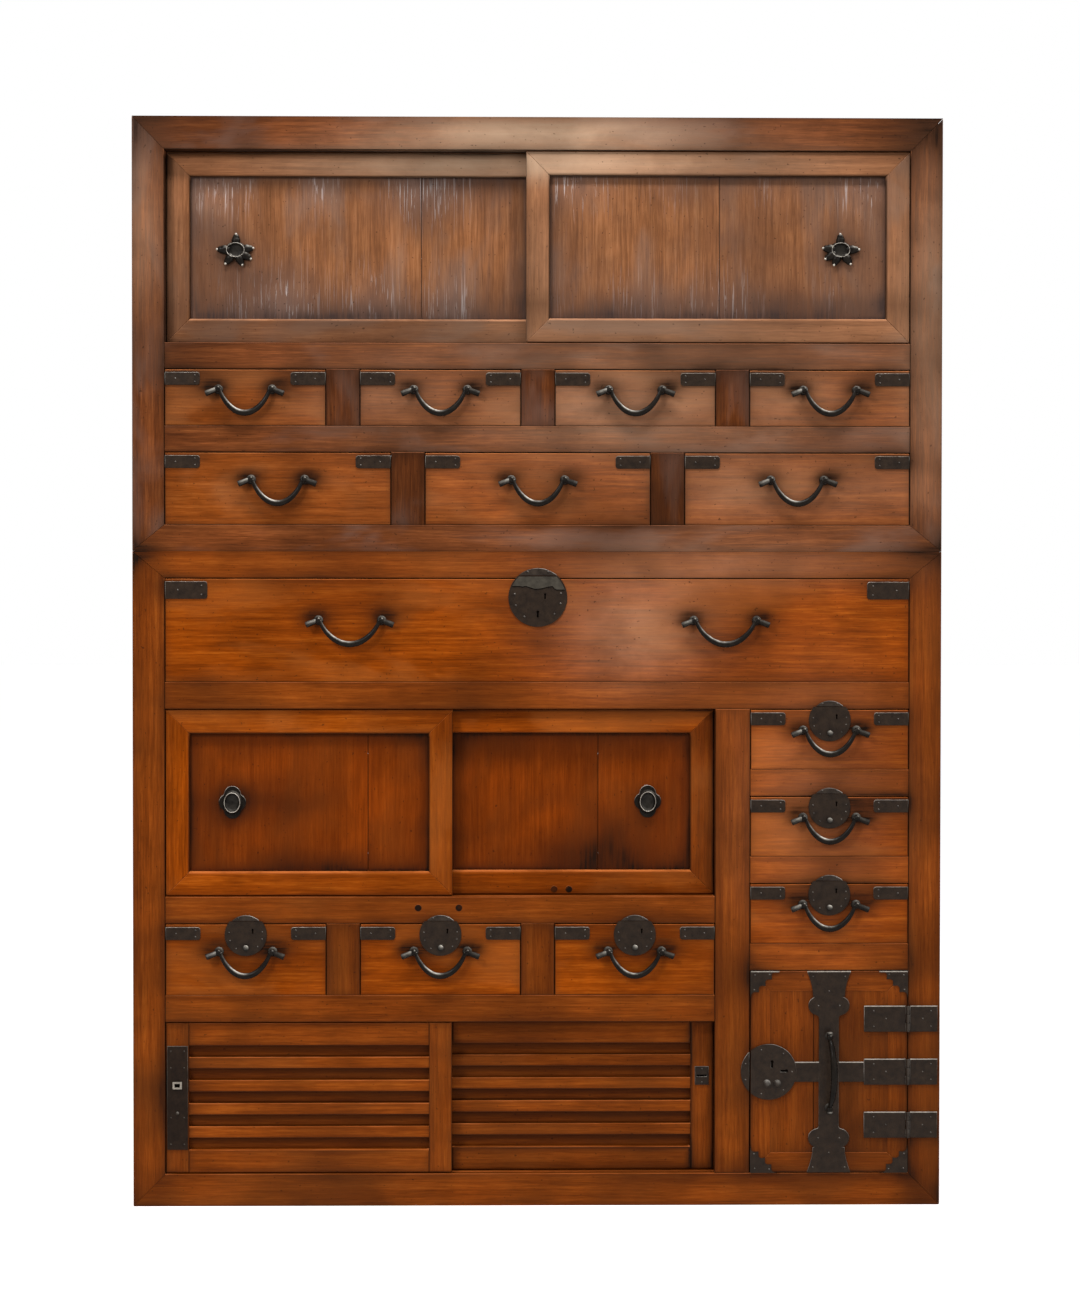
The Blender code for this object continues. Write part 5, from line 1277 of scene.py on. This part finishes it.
def panel_door(name, x, track, pull_x, seam, wear=None, plugs=()):
    """A framed sliding door: mitred frame, iron pull, and two boards that meet at a share of its panel."""
    upper = name.startswith("upper")
    level, pull = (UPPER_DOORS, flower_pull) if upper else (LOWER_DOORS, oval_pull)
    sunk = track == BACK_TRACK
    maker = Maker()
    y = (track, track + DOOR_THICKNESS)
    z = inset(level, SHOULDER)
    tongues(maker, x, level, track)
    for side in range(4):
        bar = mitred_bar(x, z, side, DOOR_FRAME, y, 0.0034)
        # Painted shade: a door in the back track is darker; its top bar gets painted light, lighter though
        # it stands in the rail's shade.
        tone = CHANCE(-0.14, -0.04) if sunk else CHANCE(-0.06, 0.06)
        if sunk and side == 2:
            tone += 0.60
        maker.add(bar, bar_axis(side), 0, patina(x, z, 0.34, 0.006, 0.35, sunk=sunk), tone)
    inner_x = inset(x, DOOR_FRAME - 0.004)
    inner_z = inset(z, DOOR_FRAME - 0.004)
    surface = track + PANEL_RECESS
    # Painted shade along the frame and into the recess, with stains; the upper panels get scouring in place
    # of painted sheen.
    shade = patina(inner_x, inner_z, 0.80, 0.006, 0.55, wear, depth=0.38 if upper else 0.35)
    for board in two_boards(inner_x, inner_x[0] + (inner_x[1] - inner_x[0]) * seam):
        shape = face_board(board, (surface, y[1] - 0.003), inner_z, 0.0005, 0.010)
        maker.add(shape, 2, 1, shade, CHANCE(-0.05, 0.05))
    for plug_x, plug_z in plugs:
        maker.add(plug((plug_x, track, plug_z)), 1, 0, dusty(0.9), -0.35)
    woods = [UPPER_FRAME_WOOD, PANEL_WOOD] if upper else [DRAWER_WOOD, LOWER_PANEL_WOOD]
    maker.finish(f"{name}_wood", woods, name, [name])
    maker = Maker()
    pull(maker, pull_x, mid(z), surface)
    maker.finish(f"{name}_pull", [BAR_IRON, HIGHLIGHT_IRON], name, angle=50)


def louvred_door(name, x, level, track):
    """A sliding door of flat slats before a thin board, with rails between its stiles."""
    maker = Maker()
    y = (track, track + DOOR_THICKNESS)
    z = inset(level, SHOULDER)
    tongues(maker, x, level, track)
    sunk = track == BACK_TRACK
    # Painted shade: the door in the back track is darker.
    tone = -0.06 if sunk else 0.06
    inner_x = inset(x, LOUVRE_FRAME)
    inner_z = inset(z, LOUVRE_FRAME)
    for stile in ((x[0], inner_x[0]), (inner_x[1], x[1])):
        shade = patina(stile, z, 0.40, 0.008, 0.45, sunk=sunk)
        maker.add(face_board(stile, y, z), 2, 0, shade, tone + CHANCE(-0.06, 0.06))
    for rail in ((z[0], inner_z[0]), (inner_z[1], z[1])):
        shade = patina(inner_x, rail, 0.40, 0.008, 0.45, sunk=sunk)
        maker.add(face_board(inset(inner_x, 0.0002), y, rail), 0, 0, shade, tone + CHANCE(-0.04, 0.10))
    across = inset(inner_x, -0.002)
    count = 4
    height = 0.0172
    space = (inner_z[1] - inner_z[0] - count * height) / (count + 1)

    def shaded(point, normal):
        """Painted shadow: the board behind is darkest under each slat."""
        rise = (point.z - inner_z[0]) % (space + height) / space
        return min(0.95, 0.26 + 0.56 * min(1.0, rise) ** 1.5), 0.0

    backing = block(across, (y[1] - 0.005, y[1]), inset(inner_z, -0.002), 0.0005)
    maker.add(sliced(backing, 2, 0.003), 0, 0, shaded, -0.10)
    for i in range(count):
        low = inner_z[0] + space + i * (space + height)
        span = (low, low + height)
        slat = face_board(across, (y[0] + 0.002, y[0] + 0.008), span, 0.0015)
        maker.add(slat, 0, 0, patina(inner_x, span, 0.30, 0.005, 0.40), tone + CHANCE(0.0, 0.16))
    maker.finish(f"{name}_wood", [LOWER_WOOD], name, [name])


def lock_strip(x, z):
    """The iron strip on the left louvred door's stile: a square rim, a small knob, nails."""
    maker = Maker()
    surface = FRONT_TRACK - IRON
    maker.add(cut_plate(rectangle(around(x, 0.0155), around(z, 0.078)), FRONT_TRACK))
    rise = z + 0.019
    hole = (around(x, 0.004), around(rise, 0.0028))
    ring = rectangle(around(x, 0.007), around(rise, 0.0055))
    # The ring is in the brighter iron of painted highlights.
    bright = 2
    maker.add(cut_plate(ring, surface, [rectangle(*hole)], 0.004, 0.0008), slot=bright, worn=facing_highlight(0.2))
    # A painted shadow in the slot.
    maker.add(block(hole[0], (surface - 0.0003, surface), hole[1], 0.0001), slot=SHADOW_SLOT)
    knob = [(0.0026, -0.0004), (0.0030, 0.0020), (0.0022, 0.0030), (0.0, 0.0032)]
    maker.add(lathe(knob, (x, surface, z - 0.023), sides=12), worn=facing_highlight(0.6))
    places = [(a, z + b) for b in (-0.070, -0.030, 0.045, 0.070) for a in around(x, 0.010)]
    nails(maker, places, surface)
    maker.finish("louvre_left_door_lock_strip", [STRIP_IRON, HOLE_SHADOW, HIGHLIGHT_IRON], "louvre_left_door")


def catch_plate(x, z):
    """The small plate on the right louvred door's stile, with a slot across it."""
    maker = Maker()
    hole = (around(x, 0.0075), around(z, 0.0015))
    maker.add(cut_plate(rectangle(around(x, 0.0105), around(z, 0.014)), BACK_TRACK, [rectangle(*hole)]))
    # A painted shadow in the slot.
    maker.add(block(hole[0], (BACK_TRACK - 0.0003, BACK_TRACK), hole[1], 0.0001), slot=SHADOW_SLOT)
    nails(maker, [(x, z + 0.010), (x, z - 0.010)], BACK_TRACK - IRON)
    maker.finish("louvre_right_door_catch", [BLACK_IRON, HOLE_SHADOW], "louvre_right_door")


def sliding_doors():
    left, right = door_pair(WHOLE, DOOR_FRAME)
    panel = inset(UPPER_DOORS, DOOR_FRAME)
    panel_door("upper_left_door", left, BACK_TRACK, UPPER_PULLS[0], 0.685, scoured(panel, 0.9))
    panel_door("upper_right_door", right, FRONT_TRACK, UPPER_PULLS[1], 0.505, scoured(panel, 0.40))
    left, right = door_pair(LEFT_BAY, DOOR_FRAME)
    plugs = [(x, LOWER_DOORS[0] + 0.009) for x in (0.0254, 0.0477)]
    panel_door("lower_left_door", left, FRONT_TRACK, LOWER_PULLS[0], 0.74)
    panel_door("lower_right_door", right, BACK_TRACK, LOWER_PULLS[1], 0.61, plugs=plugs)
    left, right = door_pair(LEFT_BAY, LOUVRE_FRAME)
    louvred_door("louvre_left_door", left, LOUVRES, FRONT_TRACK)
    louvred_door("louvre_right_door", right, LOUVRES, BACK_TRACK)
    lock_strip(left[0] + LOUVRE_FRAME / 2, mid(LOUVRES))
    catch_plate(right[1] - LOUVRE_FRAME / 2, mid(LOUVRES) + 0.029)


# Hinged door

HINGE_X = INNER_RIGHT - RUN / 2
HINGE_Y = FRONT - 0.0036
HINGE_HEIGHT = 0.039
DOOR_LEAF = 0.066
CASE_LEAF = 0.0445
CORNER_REACH = 0.043
STRAP_HALF = 0.033
STRAP_SURFACE = FRONT - 0.0004
CROSS_HALF = 0.015
LOCK_SURFACE = FRONT - 0.0008
PULL_EYES = around(SWING_MIDDLE[1], 0.054)
UPWARD = (0.0, 0.0, 1.0)
HINGE_IRONS = [BLACK_IRON, HOLE_SHADOW, BAR_IRON, HIGHLIGHT_IRON]


def hinge_leaf(maker, z, sign, length, knuckles):
    """A hinge leaf with its knuckles at the given thirds of its height, nailed at the far end."""
    near = HINGE_X + sign * 0.0034
    far = HINGE_X + sign * length
    low, high = around(z, HINGE_HEIGHT / 2)
    maker.add(cut_plate(rectangle((near, far), (low, high))))
    arris(maker, sorted((near, far)), high)
    third = HINGE_HEIGHT / 3
    for k in knuckles:
        span = inset((low + k * third, low + (k + 1) * third), JOINT)
        bottom, top = inset(span, 0.0006)
        barrel = [(0.0026, span[0]), (0.0030, bottom), (0.0030, top), (0.0026, span[1])]
        maker.add(lathe(barrel, (HINGE_X, HINGE_Y, 0.0), UPWARD, 14), worn=facing_highlight(0.15))
        tab = sorted((HINGE_X + sign * 0.0012, near + sign * 0.0010))
        maker.add(block(tab, (FRONT - 0.0030, FRONT - 0.0012), span, 0.0003), worn=facing_highlight(0.2))
    nails(maker, placed([(0.78, 0.30), (0.78, -0.30), (0.50, 0.0)], HINGE_X, z, sign * length, HINGE_HEIGHT))


def strap_outline(x, floor, head):
    """The upright strap: flared ends, a round swelling by each, and a plain middle."""
    flare = 0.038
    lobe = 0.014
    lobe_z = head - flare - lobe
    half = [(STRAP_HALF - 0.009 * math.sin(math.pi / 2 * i / 5), head - flare * i / 5) for i in range(6)]
    half += arc((0.031 - lobe, lobe_z), lobe, 75, -75, 10)
    half += [(0.0165, lobe_z - lobe - 0.001), (0.015, lobe_z - lobe - 0.004)]
    half += [(a, floor + head - b) for a, b in reversed(half)]
    return [(x + a, b) for a, b in half] + [(x - a, b) for a, b in reversed(half)]


def cusped_corner(x, z, sign_x, sign_z):
    """A corner plate whose long side is a row of hollow curves that meet in cusps."""
    cusps = placed([(1.0, 0.0), (0.72, 0.27), (0.50, 0.50)], 0.0, 0.0, CORNER_REACH)
    cusps += [(b, a) for a, b in reversed(cusps[:-1])]
    outline = [(0.0, 0.0)]
    for (a0, b0), (a1, b1) in zip(cusps, cusps[1:]):
        for t in (i / 6 for i in range(6)):
            hollow = 1.5 * t * (1 - t)
            a = a0 + (a1 - a0) * t - abs(b1 - b0) * hollow
            outline.append((a, b0 + (b1 - b0) * t - abs(a1 - a0) * hollow))
    outline.append(cusps[-1])
    return placed(outline, x, z, sign_x, sign_z)


def side_lock(edge, right):
    """The part of the lock plate's round outline on one side of an upright line."""
    radius = SWING_LOCK_RADIUS
    cut_angle = math.degrees(math.acos((edge - SWING_LOCK[0]) / radius))
    if right:
        return arc(SWING_LOCK, radius, cut_angle, -cut_angle, 36)
    return arc(SWING_LOCK, radius, cut_angle, 360 - cut_angle, 16)


def hinged_wood():
    maker = Maker()
    back = FRONT + 0.020
    frame_paint = patina(SWING_X, SWING_Z, 0.60, 0.005, 0.4)
    for side in range(4):
        bar = mitred_bar(SWING_X, SWING_Z, side, 0.030, (FRONT, back), 0.0006)
        maker.add(bar, bar_axis(side), 0, frame_paint, CHANCE(-0.04, 0.06))
    x, z = (inset(span, 0.027) for span in (SWING_X, SWING_Z))
    for board in two_boards(x, x[0] + 0.068):
        shape = face_board(board, (FRONT + 0.0004, back - 0.006), z, 0.0005, 0.010)
        maker.add(shape, 2, 0, patina(x, z, 0.30, 0.006, 0.5), CHANCE(-0.10, 0.0))
    maker.finish("hinged_door_wood", [LOWER_WOOD], "hinged_door", ["hinged_door"])


def hinged_lock(maker):
    """The door's part of the lock plate, with two keyholes, two bosses and nails round its rim."""
    x, z = SWING_LOCK
    keys = [(x + 0.005, z + 0.012), (x + 0.0235, z + 0.0015)]
    holes = [keyhole(*keys[0], 0.012), keyhole(*keys[1], 0.012, True)]
    maker.add(cut_plate(side_lock(SWING_X[0], True), LOCK_SURFACE, holes), worn=facing_highlight(1.0, 8, RIM_GLINT))
    for key in keys:
        pit(maker, *key, 0.0075, LOCK_SURFACE - 0.0001)
    boss = [(0.0060, -0.0002), (0.0060, 0.0008), (0.0042, 0.0014), (0.0042, 0.0040)]
    boss += [(0.0030, 0.0050), (0.0, 0.0052)]
    # Painted highlights on the bosses, the left one brighter.
    for offset, wear in ((-0.003, 0.55), (0.0125, 0.22)):
        maker.add(lathe(boss, (x + offset, LOCK_SURFACE - IRON, z - 0.0175), sides=18), worn=facing_highlight(wear))
    nails(maker, placed(rays(-1.9, -0.9, 0.0, 0.9, 1.9), x, z, 0.035), LOCK_SURFACE - IRON)


def hinged_iron():
    maker = Maker()
    spots = ((0.006, 0.006), (0.028, 0.005), (0.005, 0.028))
    for sign_x, x in zip((1, -1), SWING_X):
        for sign_z, z in zip((1, -1), SWING_Z):
            maker.add(cut_plate(cusped_corner(x, z, sign_x, sign_z)), worn=no_highlight)
            nails(maker, placed(spots, x, z, sign_x, sign_z), radius=0.0015)
    for z in HINGE_LEVELS:
        hinge_leaf(maker, z, -1, DOOR_LEAF, (0, 2))
    x, z = SWING_MIDDLE
    maker.add(cut_plate(strap_outline(x, *SWING_Z), STRAP_SURFACE))
    spots = [(-0.024, 0.008), (0.024, 0.008), (-0.016, 0.052), (0.016, 0.052), (0.0, 0.030)]
    for end, inward in zip(SWING_Z, (1, -1)):
        nails(maker, placed(spots, x, end, 1, inward), STRAP_SURFACE - IRON)
    end = HINGE_X - DOOR_LEAF - JOINT
    maker.add(cut_plate(rectangle((SWING_LOCK[0] + 0.033, end), around(z, CROSS_HALF))))
    arris(maker, (SWING_LOCK[0] + 0.030, end), z + CROSS_HALF)
    arris(maker, around(x, STRAP_HALF), SWING_Z[1], STRAP_SURFACE)
    arris(maker, (SWING_X[0], SWING_X[0] + CORNER_REACH), SWING_Z[1])
    arris(maker, (SWING_X[1] - CORNER_REACH, SWING_X[1]), SWING_Z[1])
    hinged_lock(maker)
    for eye_z in PULL_EYES:
        eye(maker, (x, FRONT - STANDOFF, eye_z), UPWARD)
    maker.finish("hinged_door_iron", HINGE_IRONS, "hinged_door", nodes=["door_ironwork"])


def case_iron():
    """The iron that stays on the case: the lock plate's other part, and the hinges' leaves and pins."""
    maker = Maker()
    maker.add(cut_plate(side_lock(POST_RIGHT - JOINT, False)))
    nails(maker, [(POST_RIGHT - 0.006, SWING_LOCK[1] + rise) for rise in (0.012, -0.012)])
    maker.finish("partition_lock_plate", [BLACK_IRON], "case")
    for name, z in zip(("top", "middle", "bottom"), HINGE_LEVELS):
        maker = Maker()
        hinge_leaf(maker, z, 1, CASE_LEAF, (1,))
        pin = [(0.0014, end) for end in around(z, HINGE_HEIGHT / 2)]
        maker.add(lathe(pin, (HINGE_X, HINGE_Y, 0.0), UPWARD, 10), worn=facing_highlight(0.3))
        maker.finish(f"hinge_leaf_{name}", HINGE_IRONS, "case", nodes=[f"case_hinge_{name}"])


def door_pull():
    """The hinged door's upright bow, which swings on two eyes and ends in small buttons."""
    maker = Maker()
    x, z = SWING_MIDDLE
    y = FRONT - STANDOFF
    line = bow(0.051, 0.022, 0.0029, 0.0022, 1)
    lean = math.radians(12)
    points = [(x + b * math.sin(lean), y - b * math.cos(lean), z + a) for a, b, _ in line]
    maker.add(tube(points, [r for _, _, r in line], 18, across=(1.0, 0.0, 0.0)), worn=no_highlight)
    button = [(0.0026, -0.004), (0.0026, 0.0035), (0.0046, 0.0046), (0.0048, 0.0066)]
    button += [(0.0036, 0.0076), (0.0, 0.0078)]
    for side, end in zip((-1, 1), PULL_EYES):
        maker.add(lathe(button, (x, y, end), (0.0, 0.0, side), 14), worn=facing_highlight(0.4))
    maker.finish("door_pull_bow", [BAR_IRON], "door_pull", nodes=["door_pull"])


cases()
for drawer in DRAWERS:
    drawer_wood(drawer)
    drawer_iron(drawer)
sliding_doors()
hinged_wood()
hinged_iron()
case_iron()
door_pull()


# Stage

WHITE = (1.0, 1.0, 1.0, 1.0)
FLOOR_GLOW = 0.72
WORLD_LIGHT = 0.28
CAMERA_PLACE = (-0.072, FRONT - 4.5, 0.934)
CAMERA_TURNS = (0.96, 1.16, 0.056)
CAMERA_LENS = 83.85


def floor():
    """A pale floor that looks white to the camera and in reflections, apart from the chest's shadow."""
    material, nodes = new_material("floor_paint")
    soft = nodes.noise(nodes.place(), (1.5, 1.5, 1.5), 2.0)
    shade = nodes.ramp(soft, (0.3, srgb(246, 246, 246)), (0.7, srgb(250, 250, 250)))
    glow = nodes.math("MULTIPLY", nodes.seen_ray(), FLOOR_GLOW)
    nodes.surface(shade, 0.9, 0.1, **{"Emission Color": WHITE, "Emission Strength": glow})
    bm = bmesh.new()
    bmesh.ops.create_grid(bm, x_segments=2, y_segments=2, size=30.0)
    mesh = bpy.data.meshes.new("floor")
    bm.to_mesh(mesh)
    bm.free()
    mesh.materials.append(material)
    made = bpy.data.objects.new("floor", mesh)
    bpy.context.scene.collection.objects.link(made)
    made.location.z = -0.0005


def world():
    """White to the camera and in reflections, and an even soft light on the chest."""
    made = bpy.data.worlds.new("studio")
    bpy.context.scene.world = made
    nodes = Nodes(made)
    strength = nodes.span(nodes.seen_ray(), 0.0, 1.0, WORLD_LIGHT, 1.0)
    nodes.feed(nodes.tree.nodes["Background"], {0: WHITE, 1: strength})


def lamp(name, place, target, size, power):
    data = bpy.data.lights.new(name, "AREA")
    data.shape = "RECTANGLE"
    data.size, data.size_y = size
    data.energy = power
    made = bpy.data.objects.new(name, data)
    bpy.context.scene.collection.objects.link(made)
    made.location = place
    made.rotation_euler = (Vector(target) - Vector(place)).to_track_quat("-Z", "Y").to_euler()


def camera():
    data = bpy.data.cameras.new("camera")
    data.sensor_fit = "VERTICAL"
    data.sensor_height = 36.0
    data.lens = CAMERA_LENS
    made = bpy.data.objects.new("camera", data)
    bpy.context.scene.collection.objects.link(made)
    yaw, pitch, roll = (math.radians(turn) for turn in CAMERA_TURNS)
    ahead = Vector((math.sin(yaw) * math.cos(pitch), math.cos(yaw) * math.cos(pitch), -math.sin(pitch)))
    made.location = CAMERA_PLACE
    aimed = ahead.to_track_quat("-Z", "Y").to_matrix() @ Matrix.Rotation(roll, 3, "Z")
    made.rotation_euler = aimed.to_euler()
    bpy.context.scene.camera = made


floor()
world()
lamp("key", (-1.8, FRONT - 2.6, 2.6), (0.0, FRONT, 0.85), (0.6, 0.5), 58.0)
lamp("fill", (2.4, FRONT - 2.8, 1.4), (0.0, FRONT, 0.8), (2.4, 2.4), 30.0)
lamp("top", (0.0, FRONT - 1.0, 3.3), (0.0, FRONT + 0.1, 0.9), (1.8, 0.35), 78.0)
camera()
bpy.context.scene.view_settings.view_transform = "Standard"
